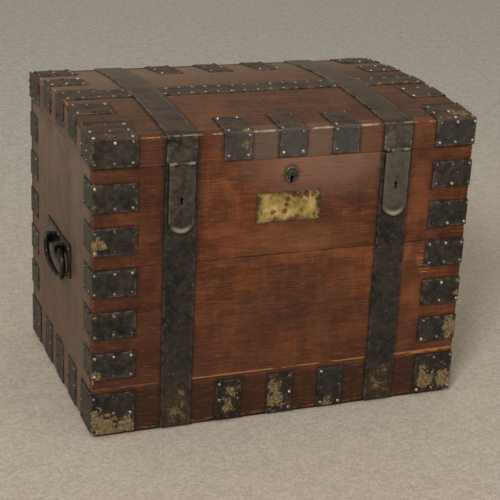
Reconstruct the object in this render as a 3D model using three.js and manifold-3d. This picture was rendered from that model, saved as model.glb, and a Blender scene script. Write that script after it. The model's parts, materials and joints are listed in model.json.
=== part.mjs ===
// Iron-bound oak silver chest: domed lid on two strap hinges, two lock hasps, a box lock and drop handles.
// Millimetres, +Z up, front towards -Y, origin at the centre of the underside of the base board.
import * as THREE from 'three';
import { mergeVertices } from 'three/addons/utils/BufferGeometryUtils.js';
import Module from 'manifold-3d';

// Oak
const chestWidth = 796; // left to right, over the oak
const chestDepth = 541; // front to back, over the oak
const bodyHeight = 549; // walls of the body, underside to rim
const lidHeight = 57.5; // sides of the lid at the corners
const lidRise = 18; // crown of the lid above its corners
const lidGap = 0.5; // between the rim and the closed lid
const boardThickness = 22;
const lidTopThickness = 16;
const crestOffset = 12; // the two top boards meet this far in front of the middle
const floorThickness = 18;
const baseThickness = 9;
const baseInset = 9;
const lowerBoardHeight = 98.5;
const upperBoardHeight = 198;
const jointGap = 0.1; // between boards, and between iron and oak
const channelClearance = 0.4; // round a strap in the base board

// Straps and the back hinges
const strapInset = 172; // end of the chest to the middle of a strap
const strapThickness = 2.5;
const bodyStrapWidth = 63;
const lidStrapWidth = 60;
const bend = 1.5; // where iron turns a corner
const hingeKnuckles = 5;
const hingeKnuckleRadius = 5.8;
const hingePinRadius = 2.8;
const hingeStandOff = 0.3; // barrel clear of the oak
const pinClearance = 0.3;
const knuckleGap = 0.6;
const pinHeadInset = 1.2; // head inside the knuckles' round
const pinHeadThickness = 2;

// Hasps
const haspWidth = 52;
const haspThickness = 4.5;
const haspLength = 137; // hinge axis to the lip
const haspRound = 21; // height of the rounded end
const haspLipLength = 13;
const haspLipReach = 5;
const haspClearance = 0.3; // between hasp and strap
const haspBarrelDip = 0.5; // barrel below the underside of the lid
const haspKnuckles = 3;
const haspKnuckleRadius = 4.2;
const haspPinRadius = 1.8;
const haspKeyDrop = 70; // hinge axis down to the keyhole
const stapleDrop = 46; // hinge axis down to the middle of the staple
const stapleThickness = 5;
const stapleHeight = 18;
const stapleDepth = 13;
const stapleEyeHeight = 8;
const stapleEyeDepth = 5.5;
const stapleTip = 2.5; // metal beyond the eye
const stapleClearance = 1;
const stapleDip = 3; // room under the staple as it swings out

// Keyholes: a round bow over a slot
const keyBowRadius = 3.75;
const keySlotWidth = 4.5;
const keyHeight = 15;

// Locks behind the hasps
const haspLockWidth = 50;
const haspLockBack = 1.8; // metal behind the staple's slot
const haspLockMargin = 14; // case beyond the keyhole and beyond the staple
const keyPocketRadius = 8;
const keyPocketDepth = 9;
const haspBoltMargin = 4; // side of the case to the withdrawn bolt
const haspBoltHeight = 6;
const haspBoltThickness = 4;
const boltTravel = 10;
const boltClearance = 0.4;
const boltStart = 1.5; // withdrawn bolt beside the staple's slot

// Box lock behind the middle of the front, and its link plate on the lid
const boxLockWidth = 90;
const boxLockHeight = 62;
const boxLockDepth = 14;
const boxLockWall = 2.5;
const boxLockKeyRise = 23; // foot of the case up to the keyhole
const drillPinRadius = 1.5;
const drillPinLength = 9;
const linkPlateEnd = 16; // plate beyond the middle of each eye
const linkPlateDepth = 11;
const linkPlateThickness = 2;
const linkEyeThickness = 4;
const linkEyeDepth = 8;
const linkEyeLength = 15;
const linkHoleHeight = 6;
const linkHoleDepth = 5;
const linkHoleTip = 3;
const linkSlotClearance = 1;
const boxBoltThickness = 4;
const boxBoltBarHeight = 8;
const boxBoltPost = 6;
const boxBoltMargin = 1; // side of the case to the withdrawn bolt
const boxBoltTongueHeight = 4;

// Escutcheon and nameplate
const escutcheonWidth = 26;
const escutcheonHeight = 34;
const escutcheonThickness = 2.5;
const escutcheonBevel = 1;
const escutcheonLift = 6; // middle of the oval above the keyhole
const nameplateWidth = 136;
const nameplateHeight = 63;
const nameplateThickness = 1.5;
const nameplateDrop = 99; // rim down to the middle of the plate
const nameplateShift = 3; // to the left
const nameplateCorner = 1;

// Edge plates
const plateThickness = 2;
const edgePlateCount = 5;
const edgePlateHeight = 54.5;
const edgePlateFirst = 147.5; // middle of the lowest above the underside of the walls
const edgePlateLast = 55.9; // middle of the highest below the rim
const edgePlateFrontLeg = 88;
const edgePlateSideLeg = 67;
const cornerPlateHeight = 87;
const cornerPlateLeg = 88;
const smallPlateWidth = 55;
const bottomPlateHeight = 86;
const bottomPlateReturn = 8; // turned under the wall
const lidPlateRise = 3.5; // lower edge above the underside of the lid
const lidPlateReach = 77; // back over the dome
const lidBackPlateReach = 120;
const lidCornerReach = 88; // along the front, top and side
const endPlateWidth = 62;
const endPlateHeight = 90;
const lidEndPlateReach = 80;
const lidEndPlateDrop = 40; // side leg below the corner of the lid
const crestWidth = 58;
const crestDrop = 37;
const crestStrapGap = 0.5;
const weld = 0.5; // bed that joins a plate to the board that carries it

// Handles
const handlePlateWidth = 200;
const handlePlateAbove = 26; // pivot to the upper edge
const handlePlateBelow = 44; // pivot to the lower edge
const handlePlateThickness = 3;
const handlePlateCorner = 3;
const handleHeight = 312; // pivot above the underside of the walls
const lugSpacing = 72;
const lugThickness = 12;
const lugRadius = 10.5;
const lugLift = 1.4; // back of a lug above the back of its plate
const bailRadius = 6;
const bailClearance = 0.4;
const bailReach = 34; // bail out beyond the lugs
const bailDrop = 63;
const bailTailInset = 2; // ends beyond the inner face of the lugs
const bailShares = [[0.63, 0], [0.76, 0.01], [0.93, 0.17], [1, 0.47], [0.87, 0.8], [0.48, 0.97], [0, 1]];

// Facets
const domeSteps = 16;
const roundSides = 20;
const bailSides = 10;
const bailSteps = 44;
const overrun = 5; // of every cutting tool past the face it cuts

// Worked out from the sizes above
const halfWidth = chestWidth / 2;
const halfDepth = chestDepth / 2;
const rim = baseThickness + bodyHeight;
const lidBottom = rim + lidGap;
const wallFoot = baseThickness + jointGap;
const ironX = halfWidth + jointGap; // inner face of iron on the ends
const ironY = halfDepth + jointGap; // inner face of iron on the front and back
const strapX = halfWidth - strapInset;
const innerY = halfDepth - boardThickness;
const innerX = halfWidth - boardThickness;
const domeRadius = (halfDepth ** 2 + lidRise ** 2) / (2 * lidRise);
const domeCentre = lidHeight + lidRise - domeRadius;
const domeHalfAngle = Math.asin(halfDepth / domeRadius);
const strapUnder = baseThickness - strapThickness;
const hingeY = ironY + hingeKnuckleRadius + hingeStandOff;
const hingeZ = rim + lidGap / 2;
const pinHeadRadius = hingeKnuckleRadius - pinHeadInset;
const haspAxisRise = haspKnuckleRadius - haspBarrelDip; // above the underside of the lid
const haspAxisY = -(ironY + haspKnuckleRadius + jointGap);
const haspAxisZ = lidBottom + haspAxisRise;
const haspBack = -(ironY + strapThickness + haspClearance) - haspAxisY;
const haspKeyZ = haspAxisZ - haspKeyDrop;
const stapleZ = haspAxisZ - stapleDrop;
const slotWidth = stapleThickness + 2 * stapleClearance;
const slotFoot = stapleZ - stapleHeight / 2 - stapleDip;
const slotDepth = stapleDepth - strapThickness - haspClearance + stapleClearance;
const haspLockDepth = slotDepth + haspLockBack;
const haspBoltLength = haspLockWidth / 2 - haspBoltMargin - slotWidth / 2 - boltStart;
const haspLockTop = stapleZ + haspLockMargin;
const haspLockFoot = haspKeyZ - haspLockMargin;
const stapleEyeFromBack = stapleDepth - stapleTip - stapleEyeDepth / 2;
const haspBoltY = haspAxisY + haspBack + stapleEyeFromBack;
const boxLockFront = -innerY - boxLockDepth;
const boxLockFoot = rim - boxLockHeight;
const boxLockKeyZ = boxLockFoot + boxLockKeyRise;
const tongueStart = linkEyeThickness / 2 + boltStart; // middle of an eye to the withdrawn tongue
const tongueLength = boltTravel;
const linkX = boxLockWidth / 2 - boxLockWall - boxBoltMargin - boxBoltPost - tongueLength - tongueStart;
const linkPlateWidth = 2 * (linkX + linkPlateEnd);
const linkY = boxLockFront + (boxLockDepth - boxLockWall) / 2;
const linkHoleZ = lidBottom - linkEyeLength + linkHoleTip + linkHoleHeight / 2;
const edgePlatePitch = (bodyHeight - edgePlateFirst - edgePlateLast) / (edgePlateCount - 1);
const smallPlatePitch = strapX / 2; // three plates spread evenly between the straps
const endPlateSpan = 2 * (ironY + plateThickness - cornerPlateLeg); // between the corner plates of an end
const endPlatePitch = (endPlateSpan + endPlateWidth) / 4;
const handleZ = wallFoot + handleHeight;
const handleStandOff = jointGap + lugLift + lugRadius; // pivot off the oak
const lugOuter = (lugSpacing + lugThickness) / 2;
const bailHalfWidth = lugOuter + bailReach;

const oak = new THREE.MeshStandardMaterial({ color: 0x5e3320, roughness: 0.55, metalness: 0 });
const oakInside = new THREE.MeshStandardMaterial({ color: 0x6d4a30, roughness: 0.75, metalness: 0 });
const iron = new THREE.MeshStandardMaterial({ color: 0x2b2825, roughness: 0.5, metalness: 0.8 });
const haspIron = new THREE.MeshStandardMaterial({ color: 0x3c3936, roughness: 0.42, metalness: 0.85 });
const brass = new THREE.MeshStandardMaterial({ color: 0x9b8646, roughness: 0.45, metalness: 0.7 });

// Solids
const wasm = await Module();
wasm.setup();

function toSolid(geometry) {
  const bare = geometry.clone();
  bare.deleteAttribute('normal');
  bare.deleteAttribute('uv');
  const merged = mergeVertices(bare);
  return new wasm.Manifold(new wasm.Mesh({
    numProp: 3,
    vertProperties: new Float32Array(merged.attributes.position.array),
    triVerts: new Uint32Array(merged.index.array),
  }));
}

function toGeometry(solid) {
  const mesh = solid.getMesh();
  const geometry = new THREE.BufferGeometry();
  geometry.setAttribute('position', new THREE.BufferAttribute(mesh.vertProperties, 3));
  geometry.setIndex(new THREE.BufferAttribute(mesh.triVerts, 1));
  return geometry;
}

function join(...geometries) {
  return toGeometry(geometries.map(toSolid).reduce((whole, part) => whole.add(part)));
}

function cut(geometry, ...tools) {
  return toGeometry(tools.map(toSolid).reduce((whole, tool) => whole.subtract(tool), toSolid(geometry)));
}

function common(first, second) {
  return toGeometry(toSolid(first).intersect(toSolid(second)));
}

// A box from three [low, high] pairs
function block(x, y, z) {
  const sizes = [x, y, z].map(([low, high]) => high - low);
  const middles = [x, y, z].map(([low, high]) => (low + high) / 2);
  return new THREE.BoxGeometry(...sizes).translate(...middles);
}

// The axes that an outline's own x, y and depth turn into
const unitX = new THREE.Vector3(1, 0, 0);
const unitY = new THREE.Vector3(0, 1, 0);
const unitZ = new THREE.Vector3(0, 0, 1);
const turned = {
  x: new THREE.Matrix4().makeBasis(unitY, unitZ, unitX),
  y: new THREE.Matrix4().makeBasis(unitX, unitZ, unitY.clone().negate()),
  z: new THREE.Matrix4(),
};

// An outline of [across, up] points, drawn out along an axis between two places
function prism(outline, axis, low, high) {
  const shape = new THREE.Shape(outline.map(([across, up]) => new THREE.Vector2(across, up)));
  const geometry = new THREE.ExtrudeGeometry(shape, { depth: high - low, bevelEnabled: false });
  geometry.applyMatrix4(turned[axis]);
  const start = axis === 'y' ? high : low;
  const shift = { x: [start, 0, 0], y: [0, start, 0], z: [0, 0, start] }[axis];
  return geometry.translate(...shift);
}

// A round bar along X or Y, from one place to another, about the point (across, up)
function bar(radius, axis, low, high, across, up, sides = roundSides) {
  const circle = new THREE.EllipseCurve(across, up, radius, radius).getPoints(sides).slice(0, sides);
  return prism(circle.map((point) => [point.x, point.y]), axis, low, high);
}

// The two ends of a span on one side of the chest, in rising order
function sided(side, first, second) {
  return side < 0 ? [-second, -first] : [first, second];
}

// Dome of the lid, from the front edge to the back one, lifted off the oak; heights are above the lid's underside
function domeStations(lift) {
  const radius = domeRadius + lift;
  return Array.from({ length: domeSteps + 1 }, (_, step) => {
    const angle = domeHalfAngle * (2 * step / domeSteps - 1);
    return [radius * Math.sin(angle), domeCentre + radius * Math.cos(angle)];
  });
}

function domeHeight(y, lift) {
  const stations = domeStations(lift);
  const after = Math.max(1, stations.findIndex(([stationY]) => stationY > y));
  const end = y >= stations[domeSteps][0] ? domeSteps : after;
  const [y0, z0] = stations[end - 1];
  const [y1, z1] = stations[end];
  return z0 + (z1 - z0) * (y - y0) / (y1 - y0);
}

function domeLine(from, to, lift) {
  const between = domeStations(lift).filter(([y]) => y > from && y < to);
  return [[from, domeHeight(from, lift)], ...between, [to, domeHeight(to, lift)]];
}

// Section of iron bent over the lid. A front or back foot is the height at which that leg ends; without one the
// iron starts or ends on the dome, at from or to.
function overLid({ thickness, from, to, frontFoot, backFoot }) {
  const outside = ironY + thickness;
  const lift = jointGap + thickness;
  const hasFront = frontFoot !== undefined;
  const hasBack = backFoot !== undefined;
  const shoulder = domeHeight(-outside, lift) - bend;
  const outer = domeLine(hasFront ? -outside + bend : from, hasBack ? outside - bend : to, lift);
  const inner = domeLine(hasFront ? -ironY : from, hasBack ? ironY : to, jointGap);
  if (hasFront) {
    outer.unshift([-outside, frontFoot], [-outside, shoulder]);
    inner.unshift([-ironY, frontFoot]);
  }
  if (hasBack) {
    outer.push([outside, shoulder], [outside, backFoot]);
    inner.push([ironY, backFoot]);
  }
  return [...outer, ...inner.reverse()];
}

// Leg of a plate that hangs down an end of the lid, between two places from front to back
function lidEndLeg(side, from, to, foot) {
  const outline = [[from, foot], ...domeLine(from, to, jointGap + plateThickness), [to, foot]];
  return prism(outline, 'x', ...sided(side, ironX, ironX + plateThickness));
}

// Outline of a keyhole, its bow centred on (across, up)
function keyhole(across, up) {
  const half = keySlotWidth / 2;
  const start = -Math.acos(half / keyBowRadius);
  const arc = new THREE.EllipseCurve(across, up, keyBowRadius, keyBowRadius, start, Math.PI - start);
  const bow = arc.getPoints(roundSides / 2).map((point) => [point.x, point.y]);
  const foot = up + keyBowRadius - keyHeight;
  return [...bow, [across - half, foot], [across + half, foot]];
}

// Zones of alternate knuckles across a hinge; parity 0 starts at the outside
function knuckleZones(width, count, parity) {
  const zone = width / count;
  return Array.from({ length: count }, (_, index) => index)
    .filter((index) => index % 2 === parity)
    .map((index) => [-width / 2 + index * zone - knuckleGap / 2, -width / 2 + (index + 1) * zone + knuckleGap / 2]);
}

// Base and floor
function baseBoard() {
  const half = halfDepth - baseInset;
  const board = block([baseInset - halfWidth, halfWidth - baseInset], [-half, half], [0, baseThickness]);
  const reach = bodyStrapWidth / 2 + channelClearance;
  const channels = [-1, 1].map((side) => {
    const middle = side * strapX;
    return block(
      [middle - reach, middle + reach],
      [-half - overrun, half + overrun],
      [strapUnder - jointGap, baseThickness + overrun],
    );
  });
  return cut(board, ...channels);
}

function floorBoard() {
  const x = innerX - jointGap;
  const y = innerY - jointGap;
  return block([-x, x], [-y, y], [wallFoot, wallFoot + floorThickness]);
}

// Front, in three boards
const lowerTop = baseThickness + lowerBoardHeight;
const upperFoot = rim - upperBoardHeight;

function frontBoard(low, high) {
  return block([-halfWidth, halfWidth], [-halfDepth, -innerY], [low, high]);
}

function upperFrontBoard() {
  const front = -halfDepth - overrun;
  const lockHalf = haspLockWidth / 2 + jointGap;
  const pockets = [-1, 1].flatMap((side) => {
    const x = side * strapX;
    return [
      block(
        [x - lockHalf, x + lockHalf],
        [front, -halfDepth + haspLockDepth + jointGap],
        [haspLockFoot - jointGap, haspLockTop + jointGap],
      ),
      block([x - slotWidth / 2, x + slotWidth / 2], [front, -halfDepth + slotDepth], [slotFoot, rim + overrun]),
    ];
  });
  const boxHalf = boxLockWidth / 2 + jointGap;
  const boxPocket = block(
    [-boxHalf, boxHalf],
    [boxLockFront - jointGap, -innerY + overrun],
    [boxLockFoot - jointGap, rim + overrun],
  );
  const keyWay = prism(keyhole(0, boxLockKeyZ), 'y', front, boxLockFront + jointGap);
  return cut(frontBoard(upperFoot + jointGap, rim), ...pockets, boxPocket, keyWay);
}

// Back and ends, with the plates that they carry fused on
function angleOutline(legX, legY) {
  const x = ironX + plateThickness;
  const y = ironY + plateThickness;
  return [
    [x - legX, -y], [x - bend, -y], [x, -y + bend], [x, -y + legY],
    [ironX, -y + legY], [ironX, -ironY], [x - legX, -ironY],
  ];
}

// Angle plate on a vertical edge; side picks left or right, face picks front or back
function anglePlate(side, face, legX, legY, low, high) {
  const outline = angleOutline(legX, legY).map(([x, y]) => [side * x, -face * y]);
  return prism(outline, 'z', low, high);
}

const edgePlateMiddles = Array.from(
  { length: edgePlateCount },
  (_, index) => wallFoot + edgePlateFirst + index * edgePlatePitch,
);

function backBed(x, z) {
  return block(x, [halfDepth - weld, ironY + weld], z);
}

function backBoard() {
  const pieces = [block([-halfWidth, halfWidth], [innerY, halfDepth], [wallFoot, rim])];
  const bedEdge = halfWidth - bend;
  for (const side of [-1, 1]) {
    for (const middle of edgePlateMiddles) {
      const z = [middle - edgePlateHeight / 2, middle + edgePlateHeight / 2];
      pieces.push(anglePlate(side, 1, edgePlateFrontLeg, edgePlateSideLeg, ...z));
      pieces.push(backBed(sided(side, ironX + plateThickness - edgePlateFrontLeg, bedEdge), z));
    }
    const z = [wallFoot, wallFoot + cornerPlateHeight];
    pieces.push(anglePlate(side, 1, cornerPlateLeg, cornerPlateLeg, ...z));
    pieces.push(backBed(sided(side, ironX + plateThickness - cornerPlateLeg, bedEdge), z));
  }
  for (const step of [-1, 0, 1]) {
    const middle = step * smallPlatePitch;
    pieces.push(block(
      [middle - smallPlateWidth / 2, middle + smallPlateWidth / 2],
      [halfDepth - weld, ironY + plateThickness],
      [wallFoot, wallFoot + bottomPlateHeight],
    ));
  }
  return join(...pieces);
}

function endBoard(side) {
  const y = innerY - jointGap;
  const pieces = [block(sided(side, innerX, halfWidth), [-y, y], [wallFoot, rim])];
  for (const step of [-1, 0, 1]) {
    const middle = step * endPlatePitch;
    pieces.push(block(
      sided(side, halfWidth - weld, ironX + plateThickness),
      [middle - endPlateWidth / 2, middle + endPlateWidth / 2],
      [wallFoot, wallFoot + endPlateHeight],
    ));
  }
  return join(...pieces);
}

// Lid; heights here are above its underside
function lidFrontRail() {
  const outline = [[-halfDepth, 0], ...domeLine(-halfDepth, -innerY, 0), [-innerY, 0]];
  const rail = prism(outline, 'x', -halfWidth, halfWidth);
  const plateHalf = linkPlateWidth / 2 + jointGap;
  const depthHalf = linkPlateDepth / 2 + jointGap;
  return cut(rail, block(
    [-plateHalf, plateHalf],
    [linkY - depthHalf, linkY + depthHalf],
    [-overrun, linkPlateThickness + jointGap],
  ));
}

function lidBackRail() {
  const outline = [[innerY, 0], ...domeLine(innerY, halfDepth, 0), [halfDepth, 0]];
  const pieces = [prism(outline, 'x', -halfWidth, halfWidth)];
  const bedTop = lidHeight - bend;
  const bedZ = [lidPlateRise, bedTop];
  for (const step of [-1, 0, 1]) {
    const x = [step * smallPlatePitch - smallPlateWidth / 2, step * smallPlatePitch + smallPlateWidth / 2];
    const reachFrom = ironY + plateThickness - lidBackPlateReach;
    const section = overLid({ thickness: plateThickness, from: reachFrom, backFoot: lidPlateRise });
    pieces.push(prism(section, 'x', ...x), backBed(x, bedZ));
  }
  for (const side of [-1, 1]) {
    pieces.push(lidCornerPlate(side, 1));
    pieces.push(backBed(sided(side, ironX + plateThickness - lidCornerReach, halfWidth - bend), bedZ));
  }
  return join(...pieces);
}

function lidSideRail(side) {
  const under = lidTopThickness + jointGap;
  const y = innerY - jointGap;
  const outline = [[-y, 0], ...domeLine(-y, y, -under), [y, 0]];
  const pieces = [prism(outline, 'x', ...sided(side, innerX, halfWidth))];
  const foot = lidHeight - lidEndPlateDrop;
  for (const end of [-1, 1]) {
    const from = end * endPlatePitch - endPlateWidth / 2;
    const to = end * endPlatePitch + endPlateWidth / 2;
    const section = overLid({ thickness: plateThickness, from, to });
    pieces.push(prism(section, 'x', ...sided(side, ironX + plateThickness - lidEndPlateReach, ironX + plateThickness)));
    pieces.push(lidEndLeg(side, from, to, foot));
    pieces.push(block(
      sided(side, halfWidth - weld, ironX + weld),
      [from, to],
      [foot, lidHeight - under - bend],
    ));
  }
  return join(...pieces);
}

function lidTopBoard(from, to) {
  const outline = [...domeLine(from, to, 0), ...domeLine(from, to, -lidTopThickness).reverse()];
  return prism(outline, 'x', -halfWidth, halfWidth);
}

function lidCornerPlate(side, face) {
  const outsideX = ironX + plateThickness;
  const outsideY = ironY + plateThickness;
  const reachY = outsideY - lidPlateReach;
  const sideY = outsideY - lidCornerReach;
  const along = face < 0
    ? { to: -reachY, frontFoot: lidPlateRise }
    : { from: reachY, backFoot: lidPlateRise };
  const section = overLid({ thickness: plateThickness, ...along });
  const legEnds = face < 0 ? [-outsideY, -sideY] : [sideY, outsideY];
  return join(
    prism(section, 'x', ...sided(side, outsideX - lidCornerReach, outsideX)),
    lidEndLeg(side, ...legEnds, lidPlateRise),
  );
}

function lidFrontPlate() {
  const reach = -(ironY + plateThickness - lidPlateReach);
  const section = overLid({ thickness: plateThickness, to: reach, frontFoot: lidPlateRise });
  return prism(section, 'x', -smallPlateWidth / 2, smallPlateWidth / 2);
}

const crestFrom = -crestOffset - crestWidth / 2;
const crestTo = -crestOffset + crestWidth / 2;
const crestSection = overLid({ thickness: plateThickness, from: crestFrom, to: crestTo });
const crestInner = strapX - lidStrapWidth / 2 - crestStrapGap;
const crestOuter = strapX + lidStrapWidth / 2 + crestStrapGap;

function crestEnd(side) {
  return join(
    prism(crestSection, 'x', ...sided(side, crestOuter, ironX + plateThickness)),
    lidEndLeg(side, crestFrom, crestTo, lidHeight - crestDrop),
  );
}

// Straps, each about its own middle; the lid's strap has its heights above the underside of the lid
function bodyStrap() {
  const outside = ironY + strapThickness;
  const outline = [
    [-outside, rim], [-outside, strapUnder + bend], [-outside + bend, strapUnder],
    [outside - bend, strapUnder], [outside, strapUnder + bend], [outside, hingeZ],
    [ironY, hingeZ], [ironY, baseThickness], [-ironY, baseThickness], [-ironY, rim],
  ];
  const half = lidStrapWidth / 2;
  const strap = join(
    prism(outline, 'x', -bodyStrapWidth / 2, bodyStrapWidth / 2),
    bar(hingeKnuckleRadius, 'x', -half, half, hingeY, hingeZ),
  );
  const cutZ = [hingeZ - hingeKnuckleRadius - knuckleGap, hingeZ + hingeKnuckleRadius + overrun];
  const cutY = [ironY - overrun, hingeY + hingeKnuckleRadius + overrun];
  const gaps = knuckleZones(lidStrapWidth, hingeKnuckles, 1).map((zone) => block(zone, cutY, cutZ));
  const shoulders = [-1, 1].map((side) => block(sided(side, half, half + overrun), cutY, cutZ));
  const bore = bar(hingePinRadius + pinClearance, 'x', -half - overrun, half + overrun, hingeY, hingeZ);
  const front = [-outside - overrun, -ironY + overrun];
  const slot = block([-slotWidth / 2, slotWidth / 2], front, [slotFoot, rim + overrun]);
  const keyWay = prism(keyhole(0, haspKeyZ), 'y', ...front);
  return cut(strap, ...gaps, ...shoulders, bore, slot, keyWay);
}

function lidStrap() {
  const hingeUp = hingeZ - lidBottom;
  const half = lidStrapWidth / 2;
  const section = overLid({ thickness: strapThickness, frontFoot: haspAxisRise, backFoot: hingeUp });
  const strap = join(
    prism(section, 'x', -half, half),
    bar(hingeKnuckleRadius, 'x', -half, half, hingeY, hingeUp),
    bar(haspKnuckleRadius, 'x', -haspWidth / 2, haspWidth / 2, haspAxisY, haspAxisRise),
  );
  const backY = [ironY - overrun, hingeY + hingeKnuckleRadius + overrun];
  const backZ = [hingeUp - hingeKnuckleRadius - overrun, hingeUp + hingeKnuckleRadius + knuckleGap];
  const backGaps = knuckleZones(lidStrapWidth, hingeKnuckles, 0).map((zone) => block(zone, backY, backZ));
  const frontY = [haspAxisY - haspKnuckleRadius - overrun, -ironY + overrun];
  const frontZ = [haspAxisRise - haspKnuckleRadius - overrun, haspAxisRise + haspKnuckleRadius + knuckleGap];
  const frontGaps = knuckleZones(haspWidth, haspKnuckles, 1).map((zone) => block(zone, frontY, frontZ));
  const bores = [
    bar(hingePinRadius + pinClearance, 'x', -half - overrun, half + overrun, hingeY, hingeUp),
    bar(haspPinRadius + pinClearance, 'x', -half - overrun, half + overrun, haspAxisY, haspAxisRise),
  ];
  return cut(strap, ...backGaps, ...frontGaps, ...bores);
}

function hingePin() {
  const end = lidStrapWidth / 2 + jointGap;
  return join(
    bar(hingePinRadius, 'x', -end - weld, end + weld, 0, 0),
    bar(pinHeadRadius, 'x', end, end + pinHeadThickness, 0, 0),
    bar(pinHeadRadius, 'x', -end - pinHeadThickness, -end, 0, 0),
  );
}

function haspPin() {
  return bar(haspPinRadius, 'x', -haspWidth / 2, haspWidth / 2, 0, 0);
}

// Hasp about its own hinge axis
function hasp() {
  const front = haspBack - haspThickness;
  const lipSteps = 4;
  const lip = Array.from({ length: lipSteps + 1 }, (_, step) => {
    const share = step / lipSteps;
    return [haspLipReach * share ** 2, -haspLength + haspLipLength * (1 - share)];
  });
  const section = [
    [haspBack, 0], ...lip.map(([out, z]) => [haspBack - out, z]),
    ...lip.reverse().map(([out, z]) => [front - out, z]), [front, 0],
  ];
  const half = haspWidth / 2;
  const round = new THREE.EllipseCurve(0, haspRound - haspLength, half, haspRound, Math.PI, 2 * Math.PI);
  const face = [...round.getPoints(roundSides).map((point) => [point.x, point.y]), [half, overrun], [-half, overrun]];
  const depth = [front - haspLipReach - overrun, haspBack + overrun];
  const leaf = common(prism(section, 'x', -half, half), prism(face, 'y', ...depth));
  const stapleFrom = haspBack - weld;
  const stapleTo = haspBack + stapleDepth;
  const stapleRound = stapleHeight / 2;
  const stapleOutline = [
    [stapleFrom, -stapleDrop - stapleRound],
    [stapleTo - stapleTip, -stapleDrop - stapleRound],
    [stapleTo, -stapleDrop - stapleRound + stapleTip],
    [stapleTo, -stapleDrop + stapleRound - stapleTip],
    [stapleTo - stapleTip, -stapleDrop + stapleRound],
    [stapleFrom, -stapleDrop + stapleRound],
  ];
  const staple = prism(stapleOutline, 'x', -stapleThickness / 2, stapleThickness / 2);
  const barrel = bar(haspKnuckleRadius, 'x', -half, half, 0, 0);
  const gapZ = [-haspKnuckleRadius - knuckleGap, haspKnuckleRadius + overrun];
  const gapY = [-haspKnuckleRadius - overrun, haspKnuckleRadius + overrun];
  const gaps = knuckleZones(haspWidth, haspKnuckles, 0).map((zone) => block(zone, gapY, gapZ));
  const bore = bar(haspPinRadius + pinClearance, 'x', -half - overrun, half + overrun, 0, 0);
  const eyeY = haspBack + stapleEyeFromBack;
  const eye = block(
    [-stapleThickness, stapleThickness],
    [eyeY - stapleEyeDepth / 2, eyeY + stapleEyeDepth / 2],
    [-stapleDrop - stapleEyeHeight / 2, -stapleDrop + stapleEyeHeight / 2],
  );
  const keyWay = prism(keyhole(0, -haspKeyDrop), 'y', ...depth);
  return cut(join(leaf, staple, barrel), ...gaps, bore, eye, keyWay);
}

// Lock behind a hasp, about the middle of its strap
const boltZ = [stapleZ - haspBoltHeight / 2, stapleZ + haspBoltHeight / 2];
const boltY = [haspBoltY - haspBoltThickness / 2, haspBoltY + haspBoltThickness / 2];
const boltX = [slotWidth / 2 + boltStart, slotWidth / 2 + boltStart + haspBoltLength];

function wider([low, high], margin) {
  return [low - margin, high + margin];
}

function haspLockCase() {
  const front = -halfDepth - overrun;
  const keyholeMiddle = haspKeyZ + keyBowRadius - keyHeight / 2;
  const half = haspLockWidth / 2;
  const body = block([-half, half], [-halfDepth, -halfDepth + haspLockDepth], [haspLockFoot, haspLockTop]);
  const slot = block(
    [-slotWidth / 2, slotWidth / 2],
    [front, -halfDepth + slotDepth],
    [slotFoot, haspLockTop + overrun],
  );
  const tunnelX = [boltX[0] - boltTravel - boltClearance, boltX[1] + boltClearance];
  const tunnel = block(tunnelX, wider(boltY, boltClearance), wider(boltZ, boltClearance));
  const pocket = bar(keyPocketRadius, 'y', front, -halfDepth + keyPocketDepth, 0, keyholeMiddle);
  return cut(body, slot, tunnel, pocket);
}

function haspLockBolt() {
  return block(boltX, boltY, boltZ);
}

// Box lock: a tray let into the inside of the front, open towards the oak
const boxLockX = [-boxLockWidth / 2, boxLockWidth / 2];
const linkPlaces = [-linkX, linkX];

function boxLockCase() {
  const back = -innerY;
  const outer = block(boxLockX, [boxLockFront, back], [boxLockFoot, rim]);
  const inner = block(
    wider(boxLockX, -boxLockWall),
    [boxLockFront - overrun, back - boxLockWall],
    [boxLockFoot + boxLockWall, rim - boxLockWall],
  );
  const slots = linkPlaces.map((x) => block(
    wider([x - linkEyeThickness / 2, x + linkEyeThickness / 2], linkSlotClearance),
    wider([linkY - linkEyeDepth / 2, linkY + linkEyeDepth / 2], linkSlotClearance),
    [rim - boxLockWall - overrun, rim + overrun],
  ));
  const drillPin = bar(drillPinRadius, 'y', back - boxLockWall - drillPinLength, back - weld, 0, boxLockKeyZ);
  return join(cut(outer, inner, ...slots), drillPin);
}

// Bolt with a tongue for each eye, drawn in one outline seen from the front
function boxLockBolt() {
  const barFoot = boxLockFoot + boxLockWall + boltClearance;
  const barTop = barFoot + boxBoltBarHeight;
  const tongueZ = [linkHoleZ - boxBoltTongueHeight / 2, linkHoleZ + boxBoltTongueHeight / 2];
  const [leftTip, rightTip] = linkPlaces.map((x) => x + tongueStart);
  const [leftPost, rightPost] = [leftTip + tongueLength, rightTip + tongueLength];
  const outline = [
    [leftPost, barFoot], [rightPost + boxBoltPost, barFoot], [rightPost + boxBoltPost, tongueZ[1]],
    [rightTip, tongueZ[1]], [rightTip, tongueZ[0]], [rightPost, tongueZ[0]], [rightPost, barTop],
    [leftPost + boxBoltPost, barTop], [leftPost + boxBoltPost, tongueZ[1]], [leftTip, tongueZ[1]],
    [leftTip, tongueZ[0]], [leftPost, tongueZ[0]],
  ];
  return prism(outline, 'y', linkY - boxBoltThickness / 2, linkY + boxBoltThickness / 2);
}

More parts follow.
